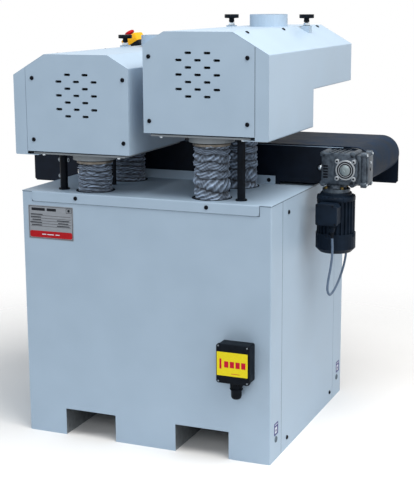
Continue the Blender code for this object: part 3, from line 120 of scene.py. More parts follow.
def hexagon(across, height, edge=0.6):
    """A hexagon bar standing on z = 0, with its upper edges broken."""
    bm = bmesh.new()
    radius = across / 2 / cos(radians(30))
    bmesh.ops.create_cone(bm, cap_ends=True, segments=6, radius1=radius, radius2=radius, depth=height,
                          matrix=Matrix.Translation((0, 0, height / 2)))
    round_over(bm, [e for e in bm.edges if min(v.co.z for v in e.verts) > height / 2], edge, 1)
    return bm


def flat_face(bm, outline):
    return bm.faces.new([bm.verts.new((x, y, 0)) for x, y in outline])


def plate(outline, thickness):
    """A flat outline of (x, y) on z = 0, extruded upwards."""
    bm = bmesh.new()
    return raised(bm, [flat_face(bm, outline)], thickness)


def lid(outline, thickness, edge, segments=3):
    """A flat outline extruded upwards, with its upper edge rounded."""
    bm = plate(outline, thickness)
    rim = [e for e in bm.edges if min(v.co.z for v in e.verts) > thickness / 2]
    round_over(bm, rim, edge, segments)
    return bm


def rod(radius, length, edge=0.0, sides=24):
    """A round bar standing on z = 0, with its upper edge rounded."""
    profile = [(0, 0), (radius, 0), (radius, length - edge)]
    if edge:
        profile += [(radius - 0.3 * edge, length - 0.3 * edge), (radius - edge, length)]
    else:
        profile.append((radius, length))
    return turned(profile + [(0, length)], sides)


def washer_ring(inner, outer, height, sides=32):
    return turned([(inner, 0), (outer, 0), (outer, 0.8 * height), (outer - 0.2 * height, height),
                   (inner, height), (inner, 0)], sides)


def rounded_rectangle(width, height, radius, steps=5):
    """Outline of a rectangle with round corners, about the origin."""
    points = []
    for turn, (sx, sy) in enumerate(((1, 1), (-1, 1), (-1, -1), (1, -1))):
        centre = (sx * (width / 2 - radius), sy * (height / 2 - radius))
        for i in range(steps + 1):
            a = radians(90 * (turn + i / steps))
            points.append((centre[0] + radius * cos(a), centre[1] + radius * sin(a)))
    return points


def tile(width, height, radius, thickness, steps=5):
    """A flat plate with round corners."""
    return plate(rounded_rectangle(width, height, radius, steps), thickness)


def facing(point, normal, up=None):
    """Puts a shape's z = 0 on a point, with its +Z along a direction and its +Y towards up."""
    z = Vector(normal).normalized()
    if up is None:
        return Matrix.Translation(point) @ z.to_track_quat("Z", "Y").to_matrix().to_4x4()
    x = Vector(up).cross(z).normalized()
    turn = Matrix((x, z.cross(x), z)).transposed().to_4x4()
    return Matrix.Translation(point) @ turn


def moved(bm, matrix):
    bmesh.ops.transform(bm, matrix=matrix, verts=bm.verts)
    return bm


def shifted(bm, x, y, z):
    return moved(bm, Matrix.Translation((x, y, z)))


def stood(bm, point, normal, up=None):
    return moved(bm, facing(point, normal, up))


def on_front(bm, x, y, z):
    """A shape stood on a face that looks forward, with its +Y up."""
    return stood(bm, (x, y, z), -Y, up=Z)


def together(shapes):
    """Several shapes as one mesh."""
    whole = bmesh.new()
    for shape in shapes:
        mesh = bpy.data.meshes.new("part")
        shape.to_mesh(mesh)
        whole.from_mesh(mesh)
        bpy.data.meshes.remove(mesh)
        shape.free()
    return whole


def added(name, data):
    """A new object in the scene."""
    obj = bpy.data.objects.new(name, data)
    bpy.context.collection.objects.link(obj)
    return obj


def piece(name, bm, material, body="base", replaces=(), crease=35):
    """A finished piece: its material, the body that it rides on and the nodes it replaces."""
    mesh = bpy.data.meshes.new(name)
    moved(bm, Matrix.Scale(MM, 4)).to_mesh(mesh)
    bm.free()
    mesh.materials.append(material)
    mesh.shade_smooth()
    mesh.set_sharp_from_angle(angle=radians(crease))
    obj = added(name, mesh)
    if body:
        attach(obj, body)
    if replaces:
        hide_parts(*replaces)
    return obj


# ---- materials
def linear(colour):
    """An sRGB hex colour as linear RGBA."""
    channels = [int(colour[i : i + 2], 16) / 255 for i in (0, 2, 4)]
    return (*(c / 12.92 if c <= 0.04045 else ((c + 0.055) / 1.055) ** 2.4 for c in channels), 1.0)


def node(tree, kind, inputs=None, **settings):
    """Adds a node; an input is a value, or another node's output to link."""
    made = tree.nodes.new(f"ShaderNode{kind}")
    for name, value in settings.items():
        setattr(made, name, value)
    for name, value in (inputs or {}).items():
        if isinstance(value, bpy.types.NodeSocket):
            tree.links.new(value, made.inputs[name])
        else:
            made.inputs[name].default_value = value
    return made


def bare(title, colour, roughness, metallic=0.0, specular=0.5):
    """A material with only its shader's own values set: (material, node tree, shader)."""
    made = bpy.data.materials.new(title)
    made.use_nodes = True
    shader = made.node_tree.nodes["Principled BSDF"]
    values = {"Base Color": linear(colour), "Roughness": roughness, "Metallic": metallic,
              "Specular IOR Level": specular}
    for name, value in values.items():
        shader.inputs[name].default_value = value
    made.diffuse_color = linear(colour)
    return made, made.node_tree, shader


def grained(tree, size, stretch=(1, 1, 1), detail=2.0):
    """An irregular pattern whose blobs are about size metres wide, longer along a stretched axis."""
    place = node(tree, "TexCoord").outputs["Object"]
    scaled = node(tree, "Mapping", {"Vector": place, "Scale": [1 / (size * s) for s in stretch]})
    return node(tree, "TexNoise", {"Vector": scaled.outputs["Vector"], "Scale": 1.0,
                                             "Detail": detail}).outputs["Fac"]


WAVE_BANDS = 3.14  # bands to the metre of a wave texture whose scale is 1, nearly


def woven(tree, place, thread, wander, crossing):
    """Threads of a width in metres, one set along each axis of a place."""
    threads = [
        node(tree, "TexWave", {"Vector": place, "Scale": 1 / thread / WAVE_BANDS,
                                         "Distortion": wander}, bands_direction=direction).outputs["Fac"]
        for direction in ("X", "Y")
    ]
    return node(tree, "Math", {0: threads[0], 1: threads[1]}, operation=crossing).outputs["Value"]


def varied(tree, shader, pattern, dark, light, smooth, rough, span=(0.3, 0.7)):
    """Colour and gloss that wander between two values with a pattern."""
    spread = {"Value": pattern, "From Min": span[0], "From Max": span[1]}
    share = node(tree, "MapRange", spread).outputs["Result"]
    mix = node(tree, "Mix", {"Factor": share, 6: linear(dark), 7: linear(light)}, data_type="RGBA")
    tree.links.new(mix.outputs[2], shader.inputs["Base Color"])
    gloss = node(tree, "MapRange", {**spread, "To Min": smooth, "To Max": rough})
    tree.links.new(gloss.outputs["Result"], shader.inputs["Roughness"])


def relief(tree, shader, height, depth):
    """A bump of a real depth in metres."""
    bump = node(tree, "Bump", {"Height": height, "Distance": depth, "Strength": 1.0})
    tree.links.new(bump.outputs["Normal"], shader.inputs["Normal"])


def skin(name, dark, light, gloss, cloud, peel, roughness, metallic=0.0, specular=0.5, stretch=(1, 1, 1)):
    """A finish clouded at one size, (metres, detail), with a relief at another, (metres, detail, depth)."""
    made, tree, shader = bare(name, light, roughness, metallic, specular)
    varied(tree, shader, grained(tree, cloud[0], stretch, cloud[1]), dark, light, *gloss)
    if peel:
        relief(tree, shader, grained(tree, peel[0], stretch, peel[1]), peel[2])
    return made


def powder_coat(name, dark, light):
    """Polyester powder baked on steel: satin, faintly cloudy, with a 1 mm orange peel drawn at 3 mm."""
    return skin(name, dark, light, (0.42, 0.5), (0.14, 2), (3 * MM, 1, 0.03 * MM), 0.45)


def enamel(name, dark, light, rough=0.4, specular=0.2):
    """Sprayed machine enamel: smooth, a little cloudy, with a slight peel."""
    gloss, peel = (rough - 0.06, rough + 0.08), (2.5 * MM, 1, 0.03 * MM)
    return skin(name, dark, light, gloss, (0.05, 2), peel, rough, specular=specular)


def moulded_plastic(name, dark, light, rough=0.42):
    """Injection-moulded plastic with a spark-eroded grain, half a millimetre wide and drawn at 1.5 mm."""
    gloss, grain = (rough - 0.06, rough + 0.06), (1.5 * MM, 1, 0.04 * MM)
    return skin(name, dark, light, gloss, (0.02, 2), grain, rough, specular=0.06)


def cast_metal(name, dark, light, rough, metallic):
    """Die-cast aluminium: grey, with a sandy skin and darker clouds."""
    gloss, sand = (rough - 0.08, rough + 0.1), (1.6 * MM, 2, 0.12 * MM)
    return skin(name, dark, light, gloss, (0.018, 3), sand, rough, metallic)


def machined_steel(name, dark, light, stretch=(1, 1, 1), rough=0.3):
    """Ground or drawn metal: fine lines, long along a stretched axis."""
    gloss, lines = (rough - 0.06, rough + 0.1), (0.9 * MM, 2, 0.01 * MM)
    return skin(name, dark, light, gloss, (1.2 * MM, 2), lines, rough, 1.0, stretch=stretch)


def plated(name, dark, light, rough=0.28):
    """Plated fastener: bright metal with small dull patches."""
    return skin(name, dark, light, (rough - 0.05, rough + 0.15), (4 * MM, 3), None, rough, 1.0)


def belt_rubber():
    """Conveyor belting: dark rubber on a woven carcass that prints through at 2 mm, drawn at 4 mm."""
    made, tree, shader = bare("belt_rubber", "121821", 0.5, specular=0.04)
    weave = woven(tree, node(tree, "TexCoord").outputs["Object"], 4 * MM, 0.4, "MULTIPLY")
    varied(tree, shader, grained(tree, 0.06, detail=3.0), "0e1925", "18283c", 0.5, 0.62)
    relief(tree, shader, weave, 0.08 * MM)
    return made


def abrasive_cloth():
    """Aluminium-oxide cloth wound on the drum: reddish-brown grit of half a millimetre, drawn at 1.5 mm."""
    made, tree, shader = bare("abrasive_cloth", "7a3b26", 0.95)
    grit = grained(tree, 1.5 * MM, detail=3.0)
    varied(tree, shader, grit, "58281a", "96543a", 0.85, 1.0)
    relief(tree, shader, grit, 0.4 * MM)
    return made


def bellows_cloth():
    """Coated polyester cloth: a plain weave of 0.8 mm threads, drawn at 2.4 mm, with painted shade in the
    creases and a painted highlight on the ridges.
    """
    made, tree, shader = bare("bellows_cloth", "757d88", 0.75)
    weave = woven(tree, node(tree, "UVMap", uv_map="cloth").outputs["UV"], 2.4 * MM, 0.3, "MAXIMUM")
    fold_shading = node(tree, "Attribute", attribute_name="fold").outputs["Fac"]
    # painted light and shade: dark in the creases, pale on the ridges, after the sleeve's fold attribute
    varied(tree, shader, fold_shading, "060c16", "b4cbe9", 0.85, 0.6, (0.08, 0.92))
    relief(tree, shader, weave, 0.12 * MM)
    shader.inputs["Sheen Weight"].default_value = 0.15
    return made


def brushed_label():
    """Anodised aluminium name plate, brushed from side to side."""
    made, tree, shader = bare("brushed_aluminium", "848a92", 0.4, 0.3)
    varied(tree, shader, grained(tree, 0.5 * MM, (30, 1, 1)), "7b8189", "8d939b", 0.35, 0.5)
    return made


def print_film(name, colour, light):
    """Printed vinyl film: an even colour, with a gloss that varies with the adhesive under it."""
    made, tree, shader = bare(name, colour, 0.35, specular=0.08)
    varied(tree, shader, grained(tree, 6 * MM), colour, light, 0.3, 0.42)
    return made


def studio_floor():
    """Seamless pale paper that keeps the soft shadow and thins out to the white backdrop around it."""
    made, tree, shader = bare("backdrop_paper", "e9eaeb", 0.9, specular=0.1)
    varied(tree, shader, grained(tree, 0.6), "e7e8e9", "ebeced", 0.88, 0.95)
    place = node(tree, "TexCoord").outputs["Object"]
    away = node(tree, "VectorMath", {0: place}, operation="LENGTH").outputs["Value"]
    share = node(tree, "MapRange", {"Value": away, "From Min": 0.8, "From Max": 2.2},
                 interpolation_type="SMOOTHSTEP")
    clear = node(tree, "BsdfTransparent")
    blend = node(tree, "MixShader", {0: share.outputs["Result"], 1: shader.outputs[0],
                                               2: clear.outputs[0]})
    tree.links.new(blend.outputs[0], tree.nodes["Material Output"].inputs["Surface"])
    return made


MOTOR = enamel("motor_enamel", "0d1621", "16212f", 0.42, 0.06)
BLACK = moulded_plastic("black_plastic", "090d13", "10161e")
YELLOW = moulded_plastic("stop_yellow", "e3a51c", "eeb02a", 0.4)
RED = moulded_plastic("stop_red", "9a1019", "ad1a24", 0.32)
SHEATH = moulded_plastic("cable_sheath", "56667a", "64758b", 0.45)
CAST = cast_metal("cast_aluminium", "28303a", "4e5964", 0.42, 0.7)
CLOTH = bellows_cloth()
FINISH = {
    "powder_coat": powder_coat("powder_coat", "97acc0", "9cb1c5"),
    "navy_paint": enamel("navy_paint", "07101c", "0e1826", specular=0.12),
    "frame_paint": enamel("frame_paint", "090b0f", "0e1115", 0.5, 0.08),
    "zinc_sheet": cast_metal("zinc_sheet", "81878c", "a0a6ab", 0.4, 0.8),
    "wheel_bronze": cast_metal("wheel_bronze", "94682f", "b5843f", 0.4, 1.0),
    "ground_steel": machined_steel("ground_steel", "8f959b", "b4b9be", (1, 1, 12)),
    "belt_rubber": belt_rubber(), "abrasive_cloth": abrasive_cloth(), "bellows_fabric": CLOTH,
    "motor_enamel": MOTOR, "black_plastic": BLACK, "stop_yellow": YELLOW, "stop_red": RED,
    "cable_sheath": SHEATH, "cast_aluminium": CAST,
}
OWN_FINISH = {
    "lift_screw": machined_steel("greased_steel", "14171b", "24282e", rough=0.45),
    "base_plate": powder_coat("primed_steel", "7a8288", "848c93"),
}
# painted highlight: pale paint for the light caught by the front plate's upper edge
EDGE_HIGHLIGHT = enamel("edge_highlight_paint", "6d8299", "8ba0b6", 0.35)
# painted shade: a paler line of shade for the fainter seams
FAINT_SEAM_SHADE = enamel("faint_seam_shade_paint", "74879c", "8092a8", 0.5)
# painted shade: near-black for the shade seen in and through the vent slots
SLOT_SHADE = moulded_plastic("slot_shade_paint", "050607", "0b0d10", 0.9)
# painted shade: near-black for the strips and rings laid in gaps and seams where shade falls
GAP_SHADE = moulded_plastic("gap_shade_paint", "1a2029", "232a34", 0.7)
PLUG = moulded_plastic("grey_rubber", "56626c", "64717b", 0.6)
CLAMP = cast_metal("clamp_steel", "5c5850", "85807a", 0.5, 0.8)
STEEL_DISC = machined_steel("faced_steel", "6a7679", "889397", rough=0.35)
TURNED = machined_steel("turned_aluminium", "767c82", "a3a9af", rough=0.38)
ZINC = plated("zinc_plate", "aab4bd", "cfd8df")
DULL_ZINC = plated("dull_zinc_plate", "5d656d", "7f8890", 0.4)
YELLOW_ZINC = plated("yellow_zinc_plate", "4c4025", "7a6a41", 0.36)
BLACK_OXIDE = plated("black_oxide", "0f1115", "1b1e24", 0.4)
PLATE = brushed_label()
PLATE_RED = print_film("plate_red", "9f1a21", "a81f27")
INK = print_film("plate_ink", "1b1e24", "24272d")
LABEL_YELLOW = print_film("label_yellow", "d9ca1f", "dfd02c")
LABEL_RED = print_film("label_red", "b4122f", "bd1c38")
STICKER_PURPLE = print_film("sticker_purple", "2c2c6b", "353577")
STICKER_WHITE = print_film("sticker_white", "c3cad6", "ccd3de")


def finish_nodes():
    """Gives every solid of the frame a finish of its own, or that of its slot."""
    for part in frame["record"]["subparts"]:
        mesh = frame["nodes"][part["node"]].data
        mesh.materials.clear()
        kind = part["node"].rsplit("_", 1)[0]
        mesh.materials.append(OWN_FINISH.get(kind, FINISH[part["material_slot"]]))


# ---- camera and studio
def camera():
    """Long lens, a little above the machine and to its right, level to within a third of a degree."""
    azimuth, elevation, roll = radians(22.7028), radians(11.7495), radians(-0.306)
    turn = Matrix.Rotation(azimuth, 4, "Z") @ Matrix.Rotation(pi / 2 - elevation, 4, "X")
    data = bpy.data.cameras.new("camera")
    data.lens = 88.08
    data.sensor_width = 36
    data.clip_end = 50
    obj = added("camera", data)
    place = Matrix.Translation((1.655, FRONT * MM - 3.4023, 1.5029))
    obj.matrix_world = place @ turn @ Matrix.Rotation(roll, 4, "Z")
    bpy.context.scene.camera = obj


# name, place, point that it looks at, width, height, power, colour
LAMPS = (
    ("overhead", (1.7, -0.8, 4.2), (0.1, 0, 0.6), 3.2, 3.2, 220, (1.0, 0.965, 0.92)),
    ("right", (3.8, -1.1, 1.5), (0.2, 0, 0.45), 1.8, 1.4, 21, (1.0, 0.97, 0.93)),
    ("front", (0.6, -4.0, 2.3), (0, 0, 0.45), 3.0, 1.2, 31, (1, 1, 1)),
    ("left", (-3.4, -1.6, 2.1), (-0.1, -0.2, 0.9), 1.6, 1.0, 38, (0.84, 0.93, 1.0)),
)


def softbox(name, place, target, width, height, power, colour):
    """A large plain lamp that looks at a point."""
    data = bpy.data.lights.new(name, "AREA")
    data.shape = "RECTANGLE"
    data.size, data.size_y = width, height
    data.energy = power
    data.color = colour
    obj = added(name, data)
    obj.location = place
    obj.rotation_euler = (Vector(target) - Vector(place)).to_track_quat("-Z", "Y").to_euler()


def sky():
    """White to the eye and in reflections, softer where it only lights the machine."""
    world = bpy.data.worlds.new("studio")
    bpy.context.scene.world = world
    world.use_nodes = True
    tree = world.node_tree
    path = node(tree, "LightPath")
    seen = path.outputs["Is Camera Ray"]
    for output in ("Is Glossy Ray", "Is Transmission Ray"):
        either = {0: seen, 1: path.outputs[output]}
        seen = node(tree, "Math", either, operation="MAXIMUM").outputs["Value"]
    strength = node(tree, "MapRange", {"Value": seen, "To Min": 0.38, "To Max": 1.0})
    background = tree.nodes["Background"]
    background.inputs["Color"].default_value = (1, 1, 1, 1)
    tree.links.new(strength.outputs["Result"], background.inputs["Strength"])


def paper_floor():
    half_side = 2.3
    grid = bmesh.new()
    bmesh.ops.create_grid(grid, x_segments=1, y_segments=1, size=half_side)
    mesh = bpy.data.meshes.new("floor")
    grid.to_mesh(mesh)
    grid.free()
    mesh.materials.append(studio_floor())
    added("floor", mesh)


# ---- motor lead
CABLE_RADIUS = 4
GLAND = Vector((middle("feed_motor").x + 14, FRONT + 290, low("feed_motor_box").z - 0.3))
CABLE_FROM_GLAND = [
    (0, 0, 0), (3, 0, -66.3), (-1.5, -1, -117.3), (-9, -1, -162.3), (-12.5, 1, -195.3),
    (-10.5, 11, -215.3), (-9, 32, -220.3), (-5.5, 70, -207.3), (-1.5, 118, -174.3), (0.5, 156, -136.3),
    (0.5, 178, -94.3), (-2.5, 189, -40.3), (-16.5, 195, 4.7), (-44.5, 199, 29.7),
]
CABLE_HOLE_Y = FRONT + 490
CABLE_HOLE_Z = GLAND.z + 34.7


def smooth_route(knots, per_span=8):
    """Points on a smooth curve that passes each knot along the line between the knots beside it."""
    padded = [2 * knots[0] - knots[1]] + knots + [2 * knots[-1] - knots[-2]]
    points = []
    for a, b, c, d in zip(padded, padded[1:], padded[2:], padded[3:]):
        points += geometry.interpolate_bezier(b, b + (c - a) / 6, c - (d - b) / 6, c, per_span + 1)[:-1]
    return points + [knots[-1]]


def lead_boot(lean):
    """Ribbed sleeve round the lead where it leaves the motor's box."""
    profile = [(CABLE_RADIUS, 0), (6.8, 0)]
    for ring in range(4):
        top = -3 - 4 * ring
        radius = 6.6 - 0.4 * ring
        profile += [(radius, top), (radius - 0.6, top - 0.8), (radius - 0.6, top - 2),
                    (radius - 0.1, top - 2.8)]
    profile += [(4.6, -20), (CABLE_RADIUS, -20), (CABLE_RADIUS, 0)]
    return piece("lead_boot", stood(turned(profile, 24), GLAND, lean), BLACK)


def lead_grommet():
    """Rubber ring in the side panel's hole for the lead."""
    profile = [(CABLE_RADIUS, -3), (8.5, -3), (8.5, 0.5), (7.5, 2.5), (5, 3),
               (CABLE_RADIUS, 3), (CABLE_RADIUS, -3)]
    ring = stood(turned(profile, 24), (SIDE, CABLE_HOLE_Y, CABLE_HOLE_Z), X)
    return piece("lead_grommet", ring, BLACK)


def motor_lead():
    """Round PVC lead: hangs from the motor's gland in a loop and goes into the side panel."""
    route = [GLAND + Vector(step) for step in CABLE_FROM_GLAND]
    route += [Vector((x, CABLE_HOLE_Y, CABLE_HOLE_Z)) for x in (SIDE + 8 * CABLE_RADIUS, SIDE - 12.5)]
    curve = bpy.data.curves.new("motor_lead", "CURVE")
    curve.dimensions = "3D"
    curve.bevel_depth = CABLE_RADIUS * MM
    curve.bevel_resolution = 3
    curve.use_fill_caps = True
    points = smooth_route(route)
    spline = curve.splines.new("POLY")
    spline.points.add(len(points) - 1)
    spline.points.foreach_set("co", [value for point in points for value in (*point * MM, 1)])
    spline.use_smooth = True
    curve.materials.append(SHEATH)
    lead = added("motor_lead", curve)
    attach(lead, "base")
    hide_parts("feed_motor_cable")
    fittings = [lead_boot(route[0] - route[1]), lead_grommet()]


# ---- bellows
CLOTH_RADIUS = 63.4
# tiers of folds, growth of a tier's height over the one under it, pleats, their slant, and their depth
FOLDS = {"left": (8, 1.09, 8, 2.0, 15), "right": (7, 0.87, 15, 2.2, 14.5)}


def tent(value):
    """Rises from 0 to 1 and falls to 0 again over each whole step."""
    return 1 - abs(2 * (value - floor(value)) - 1)


def crumpled_sleeve(height, tiers, growth, pleats, slope, swing, seed):
    """A sleeve of thin cloth pushed together: bulging tiers, each folded into slanting pleats."""
    hem, rows = 5, 14 * tiers
    bm = turned([(CLOTH_RADIUS, height * i / rows) for i in range(rows + 1)], 180)
    fold = bm.verts.layers.float.new("fold")
    shift = Vector((seed * 1.7, seed * 0.9, seed * 2.3))
    for vert in bm.verts:
        theta, z = atan2(vert.co.y, vert.co.x), vert.co.z
        if theta > radians(179):  # the column that closes the tube counts as its first
            theta = -pi
        held = min(1.0, max(0.0, (min(z, height - z) - 0.4 * hem) / hem))
        around = Vector((cos(theta), sin(theta), 0))
        wander = 0.38 * noise.noise(around * 1.1 + shift + Vector((0, 0, z / 60))) + 0.22 * cos(theta)
        tier = log(1 + z / height * (growth ** tiers - 1), growth) + wander
        number, climb = floor(tier), tier - floor(tier)
        own = shift + Vector((0, 0, 3.7 * number))
        bulge = sin(pi * climb) ** 0.45
        turns = (pleats + (3 * number) % 5 - 2) * theta / (2 * pi)
        lean = slope * (1 + 0.45 * sin(2.6 * number + seed))
        ridge = tent(turns - lean * climb + 1.1 * noise.noise(around * 1.7 + own) + 0.37 * number)
        deep = min(1.0, max(0.15, 0.7 + 1.1 * noise.noise(around * 3.1 + own * 1.3 + Vector((0, 0, climb)))))
        fine = noise.noise(Vector((theta * CLOTH_RADIUS, z, seed / MM)) / 5.5)
        cross = tent(1.6 * turns + 0.8 * lean * climb + noise.noise(around * 2.6 + own * 0.7))
        lift = 0.34 * bulge + bulge * (0.42 * deep * ridge + 0.18 * cross + 0.06 * fine)
        radius = CLOTH_RADIUS - swing * (1 - lift) * held - 3.5 * (1 - held)
        vert.co.x, vert.co.y = radius * cos(theta), radius * sin(theta)
        # painted highlight on the ridges and painted shade in the creases and between the tiers
        vert[fold] = bulge * (0.2 + 0.68 * deep * ridge ** 2 + 0.18 * cross ** 3) * held
    return bm


def lay_flat(bm):
    """A map of the cloth in metres: how far round the sleeve, and how far up it."""
    cloth = bm.loops.layers.uv.new("cloth")
    for face in bm.faces:
        turns = [atan2(loop.vert.co.y, loop.vert.co.x) for loop in face.loops]
        wrap = max(turns) - min(turns) > pi
        for loop, turn in zip(face.loops, turns):
            angle = turn + 2 * pi if wrap and turn < 0 else turn
            loop[cloth].uv = (angle * CLOTH_RADIUS * MM, loop.vert.co.z * MM)


def bellows(name, head, seed):
    """One crumpled cloth sleeve between the lid and its head, its clamp, and rings of painted shade above
    the clamp and round its hole in the lid.
    """
    sleeve = f"{name}_{head}"
    centre, bottom, top = middle(sleeve), low(sleeve).z, high(sleeve).z
    bm = crumpled_sleeve(top - bottom, *FOLDS[head], seed)
    lay_flat(bm)
    shifted(bm, centre.x, centre.y, bottom)
    obj = piece(f"cloth_{sleeve}", bm, CLOTH, None, [sleeve], 45)
    wall = obj.modifiers.new("cloth", "SOLIDIFY")
    wall.thickness = 0.9 * MM
    wall.offset = -1
    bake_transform(obj)
    # the first and the last ring are painted shade: dark rings for the shade in the gap above the clamp and
    # round the sleeve's hole
    rings = (
        ("clamp_gap_shade", 58, 62.8, 2.2, top - 2.4, GAP_SHADE, f"head_{head}", "black_plastic"),
        ("clamp_band", 57, 61.2, 9, top - 11.5, CLAMP, f"head_{head}", "zinc_sheet"),
        ("hole_edge_shade", 58.5, 66.2, 1.2, LID_TOP, GAP_SHADE, "base", "black_plastic"),
    )
    for kind, inner, outer, tall, z, material, body, slot in rings:
        ring = shifted(washer_ring(inner, outer, tall, 64), centre.x, centre.y, z)
        piece(f"{kind}_{sleeve}", ring, material, body)


# ---- fasteners
def button_screw(radius=7.2, height=3.8):
    """Button-head socket screw, standing on z = 0."""
    socket = 0.42 * radius
    foot = -0.4
    return turned([(0, 0.25 * height), (socket, 0.25 * height), (socket, 0.95 * height),
                   (0.55 * radius, height), (0.85 * radius, 0.7 * height), (radius, 0.15 * height),
                   (radius, foot), (0, foot)], 20)


def hex_bolt(across, height, washer):
    """Hexagon head on a flat washer, standing on z = 0."""
    disc = turned([(0, 0), (washer, 0), (washer, 1.4), (0, 1.4)], 20)
    return together([disc, shifted(hexagon(across, height), 0, 0, 1.3)])


def fasteners(name, shape, spots, material, body="base"):
    """One kind of fastener at several (point, direction) places, as one piece."""
    copies = [stood(shape.copy(), point, way) for point, way in spots]
    shape.free()
    piece(name, together(copies), material, body)


def cabinet_screws():
    """Screws of the lid's front flange, of its rear upstand and of the side panels."""
    spots = [((x, low("cabinet_lid").y, LID_TOP - 17), -Y) for x in (-243, 230.5)]
    fasteners("lid_screws", button_screw(), spots, BLACK_OXIDE)
    spots = [((294, FRONT + 411, LID_TOP + 15.5), -Y)]
    fasteners("upstand_screw", button_screw(), spots, BLACK_OXIDE)
    corners = [(y, z) for y in (FRONT + 168, FRONT + 663) for z in (37.5, 812.6)]
    spots = [((side * SIDE, y, z), side * X) for side in (-1, 1) for y, z in corners]
    fasteners("side_screws", button_screw(7.6, 4.5), spots, BLACK_OXIDE)


SEAM = 1.2  # width of an open seam between two sheets, and of the strip of painted shade laid in it


def cabinet_seam_shade():
    """Painted shade in the cabinet's seams: dark strips in the open seams, and a paler strip of painted
    shade in the side seams near the rear.
    """
    flange_low = LID_TOP - 34.5
    flange_end = 410.3
    strips, faint_lines = [], []
    for side in (-1, 1):
        edge = side * SIDE
        inside = edge - side * 0.3
        for y, into in ((FRONT + 110, strips), (FRONT + 700, faint_lines)):
            into.append(block((inside, y - SEAM / 2, 3), (edge + side * 0.2, y + SEAM / 2, LID_TOP - 3)))
        end = side * flange_end
        strips += [
            block((inside, FRONT + 1, LID_TOP - 3.4), (edge + side * 0.3, REAR - 1, LID_TOP - 2.1)),
            block((side * 410.8, FRONT - 0.4, LID_TOP - 3.4), (side * (SIDE - 2), FRONT + 0.4, LID_TOP - 2)),
            block((end - SEAM / 2, FRONT - 1.2, flange_low), (end + SEAM / 2, FRONT + 0.4, LID_TOP - 2)),
        ]
    strips.append(block((-410, FRONT - 1, flange_low - SEAM), (410, FRONT + 0.4, flange_low)))
    for strip in strips + faint_lines:
        bmesh.ops.recalc_face_normals(strip, faces=strip.faces)
    piece("cabinet_seam_shade", together(strips), GAP_SHADE)
    piece("cabinet_faint_seam_shade", together(faint_lines), FAINT_SEAM_SHADE)


# ---- heads
def head_seam_shade(head):
    """Painted shade in the line between the front cover and the side hood: a dark strip on the right head, a
    paler one on the left.
    """
    cover_low, cover_high = low(f"front_cover_{head}"), high(f"front_cover_{head}")
    width, material = (SEAM, GAP_SHADE) if head == "right" else (0.4 * SEAM, FAINT_SEAM_SHADE)
    seam = HEADS[head] * 404.5
    strip = block((seam - width / 2, cover_low.y - 0.2, cover_low.z + 2),
                  (seam + width / 2, cover_low.y + 0.6, cover_high.z - 45))
    piece(f"head_seam_shade_{head}", strip, material, f"head_{head}")


def under_plate(head):
    """Shadow gap between the front cover and the base plate, and the bolts under the plate's corners."""
    plate_low, plate_high = low(f"base_plate_{head}"), high(f"base_plate_{head}")
    cover_low = low(f"front_cover_{head}").z
    gap = block((plate_low.x + 1, plate_low.y - 0.6, cover_low - 4.6),
                (plate_high.x - 1, plate_low.y + 0.4, cover_low + 0.2))
    piece(f"plate_gap_{head}", gap, GAP_SHADE, f"head_{head}")
    columns = (plate_low.x + 30, plate_high.x - 30)
    spots = [((x, plate_low.y + y, plate_low.z + 22), -Z) for x in columns for y in (16, 280)]
    fasteners(f"plate_bolts_{head}", hex_bolt(10, 5, 8.5), spots, ZINC, f"head_{head}")


def slot_outline(length, width, steps=5):
    """Outline of a long hole with round ends, about the origin."""
    radius = width / 2
    points = []
    for end in (1, -1):
        for i in range(2 * steps + 1):
            a = radians(90 * i / steps - 90 * end)
            points.append((end * (length / 2 - radius) + radius * cos(a), radius * sin(a)))
    return points


def slot_edge(length, width, edge, height):
    """Thin rim round a long hole with round ends, standing on z = 0."""
    rim = bmesh.new()
    hole = flat_face(rim, slot_outline(length + 2 * edge, width + 2 * edge))
    hole.normal_update()
    bmesh.ops.inset_individual(rim, faces=[hole], thickness=edge, use_even_offset=True)
    bmesh.ops.delete(rim, geom=[hole], context="FACES_ONLY")
    return raised(rim, rim.faces[:], height, keep=True)


def vents(head):
    """Painted shade for the vent slots: black rims round the laser-cut slots, and a black block behind them.
    """
    cover, axis = low(f"front_cover_{head}"), middle(f"drum_{head}")
    mat = block((axis.x - 115, cover.y + 2.3, cover.z + 60), (axis.x + 115, cover.y + 9.2, cover.z + 270), 1)
    piece(f"vent_shade_backing_{head}", mat, SLOT_SHADE, f"head_{head}")
    across, up, rows = 64.6, 22.5, 7
    edges = []
    for row in range(rows):
        count = 3 if row % 2 else 2
        z = axis.z + (row - (rows - 1) / 2) * up
        for i in range(count):
            x = axis.x + (i - (count - 1) / 2) * across
            edges.append(on_front(slot_edge(20.5, 6.2, 0.8, 0.4), x, cover.y + 0.1, z))
    piece(f"vent_edge_shade_{head}", together(edges), SLOT_SHADE, f"head_{head}")


def head_screws(head):
    """Screws of the front cover, and of the hood along its upper slope."""
    side = HEADS[head]
    cover_low, cover_high = low(f"front_cover_{head}"), high(f"front_cover_{head}")
    inner, outer = sorted((cover_low.x, cover_high.x), key=abs)
    columns = (inner + side * 20, outer - side * 24)
    spots = [((x, cover_low.y, cover_low.z + z), -Y) for x in columns for z in (38.8, 241.8)]
    fasteners(f"cover_screws_{head}", button_screw(), spots, BLACK_OXIDE, f"head_{head}")
    ridge, down = abs(outer) - 72, 9
    out = Vector((side * sin(SLOPE), 0, cos(SLOPE)))
    roof = cover_high.z - down * tan(SLOPE)
    spots = [((side * (ridge + down), FRONT + y, roof), out) for y in (73.5, 420, 800)]
    fasteners(f"hood_screws_{head}", button_screw(), spots, BLACK_OXIDE, f"head_{head}")


